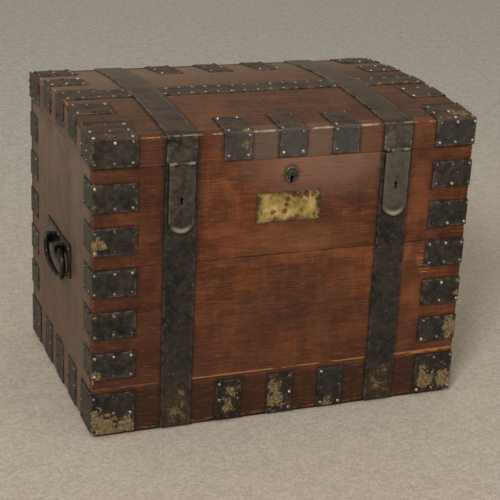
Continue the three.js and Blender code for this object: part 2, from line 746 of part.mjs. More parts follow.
// Link plate under the front of the lid; heights above the lid's underside
function linkPlate() {
  const plate = block(
    [-linkPlateWidth / 2, linkPlateWidth / 2],
    [linkY - linkPlateDepth / 2, linkY + linkPlateDepth / 2],
    [0, linkPlateThickness],
  );
  const holeZ = linkHoleZ - lidBottom;
  const eyes = linkPlaces.map((x) => cut(
    block(
      [x - linkEyeThickness / 2, x + linkEyeThickness / 2],
      [linkY - linkEyeDepth / 2, linkY + linkEyeDepth / 2],
      [-linkEyeLength, weld],
    ),
    block(
      [x - linkEyeThickness, x + linkEyeThickness],
      [linkY - linkHoleDepth / 2, linkY + linkHoleDepth / 2],
      [holeZ - linkHoleHeight / 2, holeZ + linkHoleHeight / 2],
    ),
  ));
  return join(plate, ...eyes);
}

// Escutcheon and nameplate on the front
function oval(width, height, up) {
  const curve = new THREE.EllipseCurve(0, up, width / 2, height / 2);
  return curve.getPoints(roundSides).slice(0, roundSides).map((point) => [point.x, point.y]);
}

function escutcheon() {
  const middle = boxLockKeyZ + escutcheonLift;
  const back = -ironY;
  const rimY = back - escutcheonThickness + escutcheonBevel;
  const front = back - escutcheonThickness;
  const inset = 2 * escutcheonBevel;
  const body = join(
    prism(oval(escutcheonWidth, escutcheonHeight, middle), 'y', rimY, back),
    prism(oval(escutcheonWidth - inset, escutcheonHeight - inset, middle), 'y', front, back),
  );
  return cut(body, prism(keyhole(0, boxLockKeyZ), 'y', front - overrun, back + overrun));
}

// A rectangle with its corners taken off
function clippedRectangle(x, z, corner) {
  const [x0, x1] = x;
  const [z0, z1] = z;
  return [
    [x0 + corner, z0], [x1 - corner, z0], [x1, z0 + corner], [x1, z1 - corner],
    [x1 - corner, z1], [x0 + corner, z1], [x0, z1 - corner], [x0, z0 + corner],
  ];
}

function nameplate() {
  const middle = rim - nameplateDrop;
  const outline = clippedRectangle(
    [-nameplateShift - nameplateWidth / 2, -nameplateShift + nameplateWidth / 2],
    [middle - nameplateHeight / 2, middle + nameplateHeight / 2],
    nameplateCorner,
  );
  return prism(outline, 'y', -ironY - nameplateThickness, -ironY);
}

// Flat plate at the bottom of the front, turned under the wall
function bottomFrontPlate() {
  const outside = ironY + plateThickness;
  const under = baseThickness - plateThickness;
  const outline = [
    [-outside, wallFoot + bottomPlateHeight], [-outside, under + bend], [-outside + bend, under],
    [-outside + bottomPlateReturn, under], [-outside + bottomPlateReturn, baseThickness],
    [-ironY, baseThickness], [-ironY, wallFoot + bottomPlateHeight],
  ];
  return prism(outline, 'x', -smallPlateWidth / 2, smallPlateWidth / 2);
}

// Handle on the left end, about its pivot: X points into the chest
function handlePlate() {
  const wood = handleStandOff;
  const back = wood - jointGap;
  const face = back - handlePlateThickness;
  const outline = clippedRectangle(
    [-handlePlateWidth / 2, handlePlateWidth / 2],
    [-handlePlateBelow, handlePlateAbove],
    handlePlateCorner,
  );
  const lugs = [-1, 1].map((end) => {
    const middle = end * lugSpacing / 2;
    const y = [middle - lugThickness / 2, middle + lugThickness / 2];
    const outside = bar(lugRadius, 'y', ...y, 0, 0);
    const neck = block([0, face + weld], y, [-lugRadius, lugRadius]);
    return join(outside, neck);
  });
  const bore = bar(bailRadius + bailClearance, 'y', -handlePlateWidth / 2, handlePlateWidth / 2, 0, 0);
  return join(prism(outline, 'x', face, back), cut(join(...lugs), bore));
}

function handleBail() {
  const tail = (lugSpacing - lugThickness) / 2 - bailTailInset;
  const half = [[tail, 0], [lugOuter, 0], ...bailShares.map(([across, down]) => [across * bailHalfWidth, -down * bailDrop])];
  const path = [...half.map(([y, z]) => [-y, z]), ...half.slice(0, -1).reverse()];
  const curve = new THREE.CatmullRomCurve3(path.map(([y, z]) => new THREE.Vector3(0, y, z)));
  const circle = new THREE.EllipseCurve(0, 0, bailRadius, bailRadius).getPoints(bailSides).slice(0, bailSides);
  const section = new THREE.Shape(circle.map((point) => new THREE.Vector2(point.x, point.y)));
  return new THREE.ExtrudeGeometry(section, { steps: bailSteps, extrudePath: curve });
}

// The chest
const chest = new THREE.Group();
const lid = new THREE.Group();
lid.position.z = lidBottom;
chest.add(lid);

function place(parent, name, geometry, material, x = 0, y = 0, z = 0) {
  const mesh = new THREE.Mesh(geometry, material);
  mesh.name = name;
  mesh.position.set(x, y, z);
  parent.add(mesh);
  return mesh;
}

place(chest, 'base_board', baseBoard(), oakInside);
place(chest, 'floor_board', floorBoard(), oakInside);
place(chest, 'front_board_lower', frontBoard(wallFoot, lowerTop), oak);
place(chest, 'front_board_middle', frontBoard(lowerTop + jointGap, upperFoot), oak);
place(chest, 'front_board_upper', upperFrontBoard(), oak);
place(chest, 'back_board', backBoard(), oak);
place(lid, 'lid_front_rail', lidFrontRail(), oak);
place(lid, 'lid_back_rail', lidBackRail(), oak);
place(lid, 'lid_top_board_front', lidTopBoard(jointGap - innerY, -crestOffset), oak);
place(lid, 'lid_top_board_back', lidTopBoard(jointGap - crestOffset, innerY - jointGap), oak);
place(lid, 'crest_strip_centre', prism(crestSection, 'x', -crestInner, crestInner), iron);
place(lid, 'link_plate', linkPlate(), brass);
place(chest, 'main_lock_case', boxLockCase(), iron);
place(chest, 'main_lock_bolt', boxLockBolt(), iron);
place(chest, 'escutcheon', escutcheon(), iron);
place(chest, 'nameplate', nameplate(), brass);

for (const [sideName, side] of [['left', -1], ['right', 1]]) {
  const middle = side * strapX;
  place(chest, `${sideName}_end_board`, endBoard(side), oak);
  place(chest, `body_strap_${sideName}`, bodyStrap(), iron, middle);
  place(chest, `hinge_pin_${sideName}`, hingePin(), iron, middle, hingeY, hingeZ);
  place(chest, `hasp_lock_case_${sideName}`, haspLockCase(), iron, middle);
  place(chest, `hasp_lock_bolt_${sideName}`, haspLockBolt(), iron, middle);
  place(lid, `lid_${sideName}_rail`, lidSideRail(side), oak);
  place(lid, `lid_strap_${sideName}`, lidStrap(), iron, middle);
  place(lid, `hasp_pin_${sideName}`, haspPin(), iron, middle, haspAxisY, haspAxisRise);
  place(lid, `hasp_${sideName}`, hasp(), haspIron, middle, haspAxisY, haspAxisRise);
  place(lid, `lid_corner_plate_${sideName}`, lidCornerPlate(side, -1), iron);
  place(lid, `crest_strip_${sideName}`, crestEnd(side), iron);

  const corner = anglePlate(side, -1, cornerPlateLeg, cornerPlateLeg, wallFoot, wallFoot + cornerPlateHeight);
  place(chest, `bottom_corner_plate_${sideName}`, corner, iron);
  edgePlateMiddles.forEach((height, index) => {
    const half = edgePlateHeight / 2;
    const plate = anglePlate(side, -1, edgePlateFrontLeg, edgePlateSideLeg, -half, half);
    place(chest, `edge_plate_${sideName}_${index + 1}`, plate, iron, 0, 0, height);
  });

  // The right-hand handle is the left-hand one, turned half round
  const end = new THREE.Group();
  end.rotation.z = side < 0 ? 0 : Math.PI;
  chest.add(end);
  const pivotX = -halfWidth - handleStandOff;
  place(end, `handle_plate_${sideName}`, handlePlate(), iron, pivotX, 0, handleZ);
  place(end, `handle_bail_${sideName}`, handleBail(), iron, pivotX, 0, handleZ);
}

for (const [placeName, step] of [['left', -1], ['centre', 0], ['right', 1]]) {
  place(lid, `lid_front_plate_${placeName}`, lidFrontPlate(), iron, step * smallPlatePitch);
  place(chest, `bottom_front_plate_${placeName}`, bottomFrontPlate(), iron, step * smallPlatePitch);
}

export default chest;
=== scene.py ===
"""Iron-bound oak silver chest: the looks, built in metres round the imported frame."""

import json
import math
import random
from itertools import product

import bmesh
import bpy
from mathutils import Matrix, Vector, noise

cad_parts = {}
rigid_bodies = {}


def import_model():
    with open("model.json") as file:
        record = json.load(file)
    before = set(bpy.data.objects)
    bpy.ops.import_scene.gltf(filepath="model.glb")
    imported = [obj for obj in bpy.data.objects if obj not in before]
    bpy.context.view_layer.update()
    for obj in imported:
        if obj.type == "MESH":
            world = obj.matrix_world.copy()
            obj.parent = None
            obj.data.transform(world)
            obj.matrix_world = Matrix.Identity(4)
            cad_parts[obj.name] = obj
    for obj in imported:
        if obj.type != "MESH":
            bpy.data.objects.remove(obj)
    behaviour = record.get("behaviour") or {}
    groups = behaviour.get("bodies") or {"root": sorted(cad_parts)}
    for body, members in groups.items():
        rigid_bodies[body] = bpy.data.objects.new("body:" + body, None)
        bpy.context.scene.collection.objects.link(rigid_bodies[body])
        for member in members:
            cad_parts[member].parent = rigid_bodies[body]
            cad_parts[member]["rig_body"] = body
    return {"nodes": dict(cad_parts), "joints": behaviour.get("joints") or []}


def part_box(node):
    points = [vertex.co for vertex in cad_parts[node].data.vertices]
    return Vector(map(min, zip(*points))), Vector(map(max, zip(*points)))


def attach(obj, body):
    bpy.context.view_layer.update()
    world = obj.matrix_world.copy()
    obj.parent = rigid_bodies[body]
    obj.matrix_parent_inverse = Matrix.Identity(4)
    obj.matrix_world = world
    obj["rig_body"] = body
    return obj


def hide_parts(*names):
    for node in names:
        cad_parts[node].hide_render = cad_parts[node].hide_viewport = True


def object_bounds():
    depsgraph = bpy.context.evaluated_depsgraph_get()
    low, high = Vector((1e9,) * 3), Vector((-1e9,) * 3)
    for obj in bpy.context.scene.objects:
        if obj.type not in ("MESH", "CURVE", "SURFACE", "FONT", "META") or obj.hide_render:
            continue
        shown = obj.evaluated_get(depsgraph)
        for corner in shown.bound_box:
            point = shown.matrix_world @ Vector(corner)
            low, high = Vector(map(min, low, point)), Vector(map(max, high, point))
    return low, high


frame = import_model()
cad_box = [list(corner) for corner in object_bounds()]

MM = 0.001
X, Y, Z = range(3)
SIDES = (("left", -1), ("right", 1))
STEPS = (("left", -1), ("centre", 0), ("right", 1))
ENDS = (("front", -1), ("back", 1))


def middle(node, axis):
    """Middle of a CAD node along an axis."""
    low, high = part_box(node)
    return (low[axis] + high[axis]) / 2


def pivot(name):
    """Place of a joint."""
    return Vector(next(joint for joint in frame["joints"] if joint["name"] == name)["pos_m"])


# Places read from the frame
OAK_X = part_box("front_board_lower")[1].x
OAK_Y = -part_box("front_board_lower")[0].y
INNER_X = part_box("right_end_board")[0].x
INNER_Y = -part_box("front_board_lower")[1].y
END_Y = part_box("right_end_board")[1].y
IRON_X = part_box("edge_plate_right_1")[1].x
IRON_Y = -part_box("edge_plate_right_1")[0].y
STRAP_X = middle("body_strap_right", X)
STRAP_Y = -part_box("body_strap_left")[0].y
STRAP_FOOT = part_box("body_strap_left")[0].z
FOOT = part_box("front_board_lower")[0].z
LOWER_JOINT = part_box("front_board_lower")[1].z
UPPER_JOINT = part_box("front_board_middle")[1].z
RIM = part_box("front_board_upper")[1].z
LID_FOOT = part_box("lid_front_rail")[0].z
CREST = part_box("lid_top_board_front")[1].z
LID_HINGE = pivot("lid_hinge")
HASP_HINGE = pivot("hasp_left_hinge")

# Oak boards
JOINT_ROUND = 1.3 * MM
ARRIS_ROUND = 2.2 * MM
ROUND_WAVE_SHARE = 0.35
ROUND_WAVES = 40
BOARD_STEP = 13 * MM
EDGE_SHARES = (0.0, 0.25, 0.6, 1.0, 2.2)
WEAR_REACH = 7 * MM
JOINT_WEAR_SHARE = 0.35
CLOSE = 3 * MM
TOP_THICKNESS = 16 * MM

# Dome of the lid
LID_SIDE = 57.5 * MM
LID_EDGE = LID_FOOT + LID_SIDE
DOME_RISE = CREST - LID_EDGE
DOME_RADIUS = (OAK_Y ** 2 + DOME_RISE ** 2) / (2 * DOME_RISE)

# Sheet iron
SKIN_GAP = 0.1 * MM
SHEET = IRON_X - OAK_X - SKIN_GAP
SHEET_STEP = 5 * MM
DOME_STEP = 12 * MM
SHEET_BEND = 3 * MM
SHEET_CHAMFER = 0.6 * MM
SHEET_WAVE = 0.22 * MM
SHEET_WAVES = 26
WAVE_BORDER = 4 * MM
CUT_WAVE = 0.45 * MM
CUT_WAVES = 90
CUT_SHIFTS = (Vector((0, 0, 0)), Vector((7, 0, 0)), Vector((0, 7, 0)))
CUT_REACH = 6 * MM
RIM_REACH = 3 * MM
BEND_REACH = 6 * MM
ARC_STEPS = 4
IRON_SKIN = 5 * MM

# Plates on the oak
CORNER_LEG = 88 * MM
SIDE_LEG = 67 * MM
CORNER_HEIGHT = 87 * MM
EDGE_MIDDLE = middle("edge_plate_right_1", Z)
EDGE_PITCH = middle("edge_plate_right_2", Z) - EDGE_MIDDLE
EDGE_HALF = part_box("edge_plate_right_1")[1].z - EDGE_MIDDLE
SMALL_WIDTH = 55 * MM
BOTTOM_RETURN = 8 * MM
END_WIDTH = 62 * MM
END_HEIGHT = 90 * MM
END_PITCH = (2 * (IRON_Y - CORNER_LEG) + END_WIDTH) / 4
LID_PLATE_RISE = 3.5 * MM
LID_REACH = 77 * MM
LID_BACK_REACH = 120 * MM
LID_END_REACH = 80 * MM
LID_END_DROP = 40 * MM
CREST_DROP = 37 * MM
CREST_LOW, CREST_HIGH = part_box("crest_strip_centre")

# Straps and hinges; a barrel is its radius and its bore
STRAP_THICKNESS = 2.5 * MM
STRAP_STEP = 9 * MM
BODY_STRAP_WIDTH = 63 * MM
LID_STRAP_WIDTH = 60 * MM
HASP_WIDTH = 52 * MM
HASP_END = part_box("hasp_left")[0].z + HASP_WIDTH / 2
BARREL_SIDES = 28
HINGE_BARREL = (5.8 * MM, 3.1 * MM)
HASP_BARREL = (4.2 * MM, 2.1 * MM)
KNUCKLE_GAP = 0.6 * MM
KNUCKLE_EASE = 0.5 * MM

# Locks
KEY_SLOT = 4.5 * MM
KEY_BOW = 3.75 * MM
KEY_HEIGHT = 15 * MM
KEY_STEPS = 12
STAPLE_SLOT = 7 * MM
SLOT_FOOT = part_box("hasp_lock_case_left")[1].z - 26 * MM
HASP_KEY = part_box("hasp_lock_case_left")[0].z + 14 * MM
MAIN_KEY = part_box("main_lock_case")[0].z + 23 * MM
ESCUTCHEON = middle("escutcheon", Z)
OVERRUN = 5 * MM

# Handles; the shares are of the bail's half width and of its drop, from a lug round to the grip
BAIL_RADIUS = 6 * MM
BAIL_SIDES = 16
BAIL_STEPS = 72
BAIL_HALF = 76 * MM
BAIL_DROP = 63 * MM
BAIL_TAIL = 28 * MM
BAIL_LUG = 42 * MM
BAIL_TIP_SHARE = 0.8
BAIL_BAR_SHARES = (0.97, 0.02)
BAIL_WAVES = 60
BAIL_SHARES = ((0.63, 0), (0.76, 0.01), (0.93, 0.17), (1, 0.47), (0.87, 0.8), (0.48, 0.97), (0, 1))
CURVE_STEPS = 12

# Nails: a head's profile is in shares of its radius, and their rows are distances from a plate's first bend
NAIL_RADIUS = 3.7 * MM
NAIL_PROFILE_SHARES = ((1.0, -0.12), (1.0, 0.1), (0.93, 0.32), (0.74, 0.54), (0.42, 0.68), (0.0, 0.72))
NAIL_SIDES = 12
NAIL_SIZE_SHARES = (0.88, 1.08)
NAIL_LEAN = 0.5 * math.tan(math.radians(6))
NAIL_SLACK = 1.2 * MM
RUB_POWER = 1.3
END_RUB_SHARE = 0.35
# A crest nail keeps this share of its dullness; the rest is a painted highlight.
CREST_DULL_SHARE = 0.3
NAIL_INSET = 7 * MM
FRONT_NAILS = (5 * MM, 44 * MM, 79 * MM)
SIDE_NAIL = -24 * MM
SIDE_NAIL_SHARE = 0.88
BOTTOM_NAILS = (8 * MM, 44 * MM, 81 * MM)
LID_NAILS = (11 * MM - LID_SIDE, -7 * MM, 8 * MM, LID_REACH - 8 * MM)
LID_BACK_NAILS = (*LID_NAILS[:3], LID_BACK_REACH / 2, LID_BACK_REACH - 8 * MM)
CORNER_NAILS = (10 * MM - LID_SIDE, -7 * MM, 9 * MM, LID_REACH / 2, LID_REACH - 8 * MM)
CORNER_LEG_ROWS = (7 * MM, 30 * MM, LID_SIDE - 9 * MM)
CORNER_LEG_COLUMNS = (6 * MM, 44 * MM, 80 * MM)
LID_END_NAILS = (8 * MM - LID_END_REACH, -38 * MM, -8 * MM, 8 * MM, 44 * MM)
CREST_NAIL_PITCH = 31 * MM
CREST_NAIL_INSET = 8 * MM
CREST_END_NAILS = [10 * MM, 44 * MM]
HANDLE_NAIL_INSET = (9 * MM, 8 * MM)
HANDLE_NAIL_RISE = 3 * MM
PIN_SHARE = 0.5
PIN_INSET = 4 * MM
NAMEPLATE_THICKNESS = 1.5 * MM

# Bevels of the pieces that keep their node's shape, in millimetres
BEVELS = {
    "hinge_pin": 0.4, "hasp_pin": 0.3, "hasp": 0.7, "hasp_lock_case": 0.4, "hasp_lock_bolt": 0.3,
    "main_lock_case": 0.4, "main_lock_bolt": 0.3, "link_plate": 0.3, "escutcheon": 0.5,
    "handle_plate": 0.6, "base_board": 1.0,
}

# Angles from which an edge is shaded sharp, in degrees
SHARP_ANGLE = 35
IRON_ANGLE = 40
OAK_ANGLE = 50
NAIL_ANGLE = 60

# Worn patches: distance from the first bend, place across and radius in millimetres, and strength
PATCH_PEAK = 1.25
PATCH_FALL = 0.75
PATCHES = {
    "bottom_corner_plate_left": ((22, 22, 36, 1.0), (6, 48, 24, 0.9), (70, 20, 30, 1.0)),
    "bottom_corner_plate_right": ((62, 40, 27, 1.0), (16, 40, 28, 1.0), (70, 70, 12, 0.8)),
    "edge_plate_left_1": ((8, 142, 14, 0.95),),
    "edge_plate_left_4": ((8, 415, 15, 1.0), (20, 408, 9, 1.0), (5, 395, 9, 0.9)),
    "edge_plate_left_5": ((86, 492, 6, 0.9), (4, 487, 7, 0.8)),
    "edge_plate_right_1": ((12, 163, 24, 1.0), (10, 145, 22, 1.0)),
    "edge_plate_right_2": ((6, 235, 10, 0.8),),
    "edge_plate_right_5": ((34, 502, 6, 0.75),),
    "bottom_front_plate_left": ((28, -112, 26, 0.72), (62, -108, 26, 0.72)),
    "bottom_front_plate_centre": ((30, -10, 30, 0.86), (62, -12, 22, 0.82)),
    "bottom_front_plate_right": ((12, 108, 20, 0.7),),
    "lid_front_plate_left": ((-24, -98, 13, 0.8), (6, -95, 14, 0.66)),
    "lid_corner_plate_left": ((14, -360, 26, 0.6),),
    "lid_corner_plate_right": ((30, 372, 30, 0.85), (8, 340, 14, 0.7)),
    "body_strap_left": ((-34, -226, 36, 0.66), (-70, -214, 26, 0.6)),
    "body_strap_right": ((-34, 226, 36, 0.66), (-70, 238, 26, 0.6)),
}

# Patches of colour on the front's oak: middle and reach in x and z, colour, strength, and where it is ragged
FRONT_PATCHES = (
    ((-0.12, 0.42), (0.14, 0.09), (138, 68, 34), 0.34, (-0.02, 0.03)),
    ((0.285, 0.36), (0.06, 0.26), (142, 82, 50), 0.6, (-0.03, 0.02)),
    ((0.03, 0.385), (0.19, 0.06), (140, 90, 58), 0.35, None),
    # The pale grey patch below the lid is a painted sheen: a reflection painted into the oak's colour.
    ((0.07, 0.56), (0.24, 0.12), (146, 108, 90), 0.62, None),
)

# Brown blots on the nameplate: x, z and reach, in millimetres
BRASS_BLOTS = (
    (-5, 474, 9), (-8, 463, 9), (-11, 450, 11), (-36, 449, 10), (8, 483, 10), (20, 481, 12),
    (34, 483, 12), (48, 481, 12), (60, 472, 11), (62, 455, 8), (24, 450, 6), (-66, 480, 8),
)

# Colours on the 0 to 255 scale, from dark to light
FRONT_OAK = ((46, 21, 10), (88, 46, 24), (132, 74, 38))
TOP_OAK = ((44, 26, 14), (86, 53, 31), (120, 80, 50))
# The ends' oak is greyer than the front's: its own colour with a painted sheen.
END_OAK = ((76, 58, 47), (103, 80, 65), (126, 101, 84))
BASE_OAK = ((24, 17, 13), (38, 27, 20), (54, 38, 28))
BARE_OAK = ((104, 76, 50), (152, 116, 82))
PLATE_TONES = ((18, 16, 13), (70, 63, 55))
STRAP_TONES = ((20, 17, 14), (64, 57, 49))
LID_TONES = ((26, 22, 18), (104, 94, 82))
HASP_TONES = ((26, 23, 19), (86, 78, 68))
# The handles' iron is darker than the rest: painted shade.
HANDLE_TONES = ((10, 8, 6), (38, 33, 27))
WORN_SHARES = (0.5, 0.96, 1.3)
BRASS_TONES = ((128, 104, 52), (176, 148, 84), (208, 184, 122))
BRASS_STAINS = ((74, 40, 20), (140, 80, 26))
HASP_SHADE = (28, 17, 12)

# Camera and light; a lamp is its name, place, size and power
LAMPS = (("key", (-6.0, -7.5, 6.9), 2.55, 742), ("fill", (4.8, -8.4, 3.75), 5.4, 135))
CAMERA_PLACE = (-1.01028, -2.63377, 1.33008)
CAMERA_TURN = (69.3475, -2.5098, -20.5426)
LENS = 99.156
SENSOR = 36.0
LIGHT_TARGET = Vector((0, 0, 0.3))
SKY = (192, 188, 180)
SKY_HEIGHTS = (-0.1, 1.0)
SKY_STRENGTHS = (0.36, 0.95)
FLOOR_HALF = 40.0

rng = random.Random(4188)
nails = {"box": [], "lid": [], "plate": []}


def dome(y, lift=0.0):
    """Height of the dome over a place from front to back, lifted off the oak."""
    return CREST - DOME_RADIUS + math.sqrt((DOME_RADIUS + lift) ** 2 - y ** 2)


def srgb(*colour):
    """A colour on the 0 to 255 scale, as the shaders take it."""
    shares = [value / 255 for value in colour]
    return (*(v / 12.92 if v <= 0.04045 else ((v + 0.055) / 1.055) ** 2.4 for v in shares), 1.0)


# Materials
class Value:
    """A number that a shader works out, ready for sums."""

    def __init__(self, shader, socket):
        self.shader = shader
        self.socket = socket

    def __add__(self, other):
        return self.shader.math("ADD", self, other)

    def __sub__(self, other):
        return self.shader.math("SUBTRACT", self, other)

    def __rsub__(self, other):
        return self.shader.math("SUBTRACT", other, self)

    def __mul__(self, other):
        return self.shader.math("MULTIPLY", self, other)

    def __abs__(self):
        return self.shader.math("ABSOLUTE", self)


def fill(node, inputs):
    """Links or sets inputs of a node, named or numbered."""
    for key, value in inputs.items():
        value = value.socket if isinstance(value, Value) else value
        if isinstance(value, bpy.types.NodeSocket):
            node.id_data.links.new(value, node.inputs[key])
        else:
            node.inputs[key].default_value = value


def add_node(tree, kind, *inputs, **settings):
    """A node with its settings, and its first inputs in order."""
    node = tree.nodes.new(kind)
    for key, value in settings.items():
        setattr(node, key, value)
    fill(node, dict(enumerate(inputs)))
    return node


class Shader:
    """One material, with short calls for its nodes. Its places and sizes are in metres."""

    def __init__(self, name, slot="oak"):
        self.material = bpy.data.materials.new(name)
        self.material["slot"] = slot
        self.material.use_nodes = True
        self.tree = self.material.node_tree
        self.tree.nodes.clear()
        self.colour = None
        self.at = self.node("ShaderNodeTexCoord").outputs["Object"]
        parts = self.node("ShaderNodeSeparateXYZ", self.at).outputs
        self.x, self.y, self.z = [Value(self, part) for part in parts]

    def node(self, kind, *inputs, **settings):
        return add_node(self.tree, kind, *inputs, **settings)

    def math(self, operation, first, second=0.0):
        return Value(self, self.node("ShaderNodeMath", first, second, operation=operation).outputs["Value"])

    def least(self, first, *others):
        for other in others:
            first = self.math("MINIMUM", first, other)
        return first

    def most(self, first, second=0.0):
        return self.math("MAXIMUM", first, second)

    def vector(self, operation, first, second):
        return self.node("ShaderNodeVectorMath", first, second, operation=operation).outputs["Vector"]

    def combine(self, x, y, z):
        return self.node("ShaderNodeCombineXYZ", x, y, z).outputs["Vector"]

    def size(self, vector):
        return Value(self, self.node("ShaderNodeVectorMath", vector, operation="LENGTH").outputs["Value"])

    def attribute(self, name):
        return Value(self, self.node("ShaderNodeAttribute", attribute_name=name).outputs["Fac"])

    def noise(self, size, detail=3.0, roughness=0.55, shift=0.0, at=None):
        """Noise whose features have a size: one size, or one for each axis."""
        sizes = size if isinstance(size, tuple) else (size, size, size)
        moved = self.vector("ADD", self.at if at is None else at, (shift, shift * 0.7, shift * 1.3))
        place = self.vector("DIVIDE", moved, sizes)
        node = self.node("ShaderNodeTexNoise")
        fill(node, {"Vector": place, "Scale": 1.0, "Detail": detail, "Roughness": roughness})
        return Value(self, node.outputs["Fac"])

    def total(self, *weighed):
        """Values added up by weight, round the same middle of 0.5."""
        value = 0.5 - sum(weight for _, weight in weighed) / 2
        for part, weight in weighed:
            value = part * weight + value
        return value

    def ease(self, value, start, end, low=0.0, high=1.0):
        """Goes smoothly from low to high while a value goes from start to end."""
        node = self.node("ShaderNodeMapRange", value, start, end, low, high, interpolation_type="SMOOTHSTEP")
        return Value(self, node.outputs["Result"])

    def patchy(self, size, low, high, detail=3.0, roughness=0.55, shift=0.0):
        """Patches: 0 where noise is under low, 1 where it is over high."""
        return self.ease(self.noise(size, detail, roughness, shift), low, high)

    def near(self, value, middle, reach):
        """1 at the middle, falling to 0 at the reach on either side."""
        return self.ease(abs(value - middle), reach, 0.0)

    def length(self, x, y, z=0.0):
        """Length of what is left of three numbers above zero."""
        return self.size(self.combine(self.most(x), self.most(y), self.most(z)))

    def repeat(self, value, middle, pitch, half):
        """Distance from the nearest of a row of bands."""
        place = self.math("FLOORED_MODULO", value - (middle - pitch / 2), pitch)
        return abs(place - pitch / 2) - half

    def spot(self, middle, reach, soft=0.2):
        """A round patch in space, longer along axes where its reach is larger."""
        offset = self.vector("DIVIDE", self.vector("SUBTRACT", self.at, middle), reach)
        return self.ease(self.size(offset), 1.0, soft)

    def front_spot(self, middle, reach, soft=0.2, depth=0.1):
        """A round patch on the front, its middle and reach given in x and z."""
        return self.spot((middle[0], -OAK_Y, middle[1]), (reach[0], depth, reach[1]), soft)

    def ramp(self, value, places, colours):
        """From colour to colour while a value goes from place to place."""
        node = self.node("ShaderNodeValToRGB", value)
        elements = node.color_ramp.elements
        while len(elements) < len(places):
            elements.new(1.0)
        for element, place, colour in zip(elements, places, colours):
            element.position = place
            element.color = srgb(*colour)
        return node.outputs["Color"]

    def over(self, share, colour, strength=1.0):
        """Lays a colour over the material's own, by a share of a strength."""
        node = self.node("ShaderNodeMix", share * strength, data_type="RGBA")
        fill(node, {6: self.colour, 7: srgb(*colour) if isinstance(colour, tuple) else colour})
        self.colour = node.outputs[2]

    def done(self, roughness, metallic=0.0, bump=None, strength=0.6, depth=0.5 * MM, specular=0.5):
        """The finished material."""
        surface = self.node("ShaderNodeBsdfPrincipled")
        fill(surface, {"Base Color": self.colour, "Roughness": roughness, "Metallic": metallic})
        fill(surface, {"Specular IOR Level": specular})
        if bump:
            node = self.node("ShaderNodeBump")
            fill(node, {"Strength": strength, "Distance": depth, "Height": bump})
            fill(surface, {"Normal": node.outputs["Normal"]})
        self.node("ShaderNodeOutputMaterial", surface.outputs["BSDF"])
        return self.material


def inside(s):
    """1 on the faces that only an open lid shows."""
    margin = 0.3 * MM
    in_x = s.math("LESS_THAN", abs(s.x), INNER_X + margin)
    in_y = s.math("LESS_THAN", abs(s.y), INNER_Y + margin)
    return in_x * in_y * s.math("LESS_THAN", s.z, dome(INNER_Y) - margin)


def iron_gap(s):
    """Distance from the nearest strap or plate, along the chest's faces and down from them."""
    from_end = IRON_X - abs(s.x)
    from_face = IRON_Y - abs(s.y)
    strap = abs(abs(s.x) - STRAP_X) - BODY_STRAP_WIDTH / 2
    level = s.repeat(s.z, EDGE_MIDDLE, EDGE_PITCH, EDGE_HALF)
    corner = s.length(from_end - CORNER_LEG, from_face - SIDE_LEG, level)
    foot_band = s.z - (FOOT + CORNER_HEIGHT)
    lid_band = s.most((LID_FOOT + LID_PLATE_RISE - s.z) * 2.0, from_face - LID_REACH)
    small = s.length(s.repeat(s.x, 0.0, STRAP_X / 2, SMALL_WIDTH / 2), s.least(foot_band, lid_band))
    end_band = s.most(LID_EDGE - LID_END_DROP - s.z, from_end - LID_END_REACH)
    ends = s.length(s.repeat(s.y, 0.0, END_PITCH, END_WIDTH / 2), s.least(foot_band, end_band))
    aside = abs(s.y - middle("crest_strip_centre", Y)) - (CREST_HIGH.y - CREST_LOW.y) / 2
    crest = aside + s.most(LID_EDGE - s.z)
    under_dome = CREST + IRON_SKIN - s.y * s.y * (0.5 / DOME_RADIUS) - s.z
    depth = s.least(under_dome, from_end, from_face)
    return s.least(strap, corner, small, ends, crest) + s.most(depth - IRON_SKIN)


def oak(name, grain, shift, tones, tint=None, slot="oak"):
    """Waxed oak with its grain along one axis; shift picks another piece of the tree."""
    s = Shader(name, slot)

    def grained(long, wide, detail, at=None, roughness=0.55):
        sizes = tuple(long if axis == grain else wide for axis in "xyz")
        return s.noise(sizes, detail, roughness, shift, at)

    sway = (grained(0.11, 0.04, 2.0) - 0.5) * 0.014
    bent = s.vector("ADD", s.at, s.combine(sway, sway, sway))
    figure = grained(0.5, 0.02, 3.0, bent)
    streak = grained(0.08, 0.0045, 3.0, bent, 0.6)
    line = grained(0.05, 0.002, 2.0, bent)
    pores = grained(0.03, 0.0016, 2.0, bent)
    ripple = grained(0.009, 0.04, 3.0)
    cloud = s.noise(0.07, 4.0, 0.6, shift)
    wide = s.noise(0.3, 2.0, 0.5, shift + 3)
    tone = s.total((figure, 0.25), (streak, 0.25), (line, 0.3), (ripple, 0.22), (cloud, 0.5), (wide, 0.35))
    s.colour = s.ramp(tone, (0.31, 0.5, 0.69), tones)
    if tint:
        tint(s)
    s.over(s.ease(pores, 0.42, 0.3), (36, 19, 12), 0.42)
    s.over(s.ease(pores, 0.57, 0.7), (180, 96, 50), 0.26)
    # Dirt and painted shade: the oak darkened within a few millimetres of the iron straps and plates.
    grime_and_shade = iron_gap(s) + (s.noise(0.012) - 0.5) * 0.012
    s.over(s.ease(grime_and_shade, 9 * MM, 0.0), (30, 19, 13), 0.7)
    edge = s.total((s.attribute("edge"), 0.8), (s.noise(0.006, 4.0, 0.65), 1.6), (s.noise(0.04), 1.8))
    s.over(s.ease(edge, 0.82, 1.0), (190, 132, 78), 0.75)
    calm = s.total((figure, 0.5), (streak, 0.35), (line, 0.25), (wide, 0.3))
    s.over(inside(s), s.ramp(calm, (0.25, 0.75), BARE_OAK))
    height = s.total((streak, 0.6), (pores, 0.5), (s.noise(0.03), 0.5))
    roughness = s.ease(s.total((cloud, 1.0), (streak, 0.6)), 0.3, 0.7, 0.4, 0.62)
    return s.done(roughness, 0.0, height, specular=0.28)


def hasp_shade(s):
    """Soft dark shade on either side of the left hasp."""
    away = abs(s.x + STRAP_X) - BODY_STRAP_WIDTH / 2
    return s.ease(away, 22 * MM, 0.0) * s.ease(s.z, 0.34, 0.42)


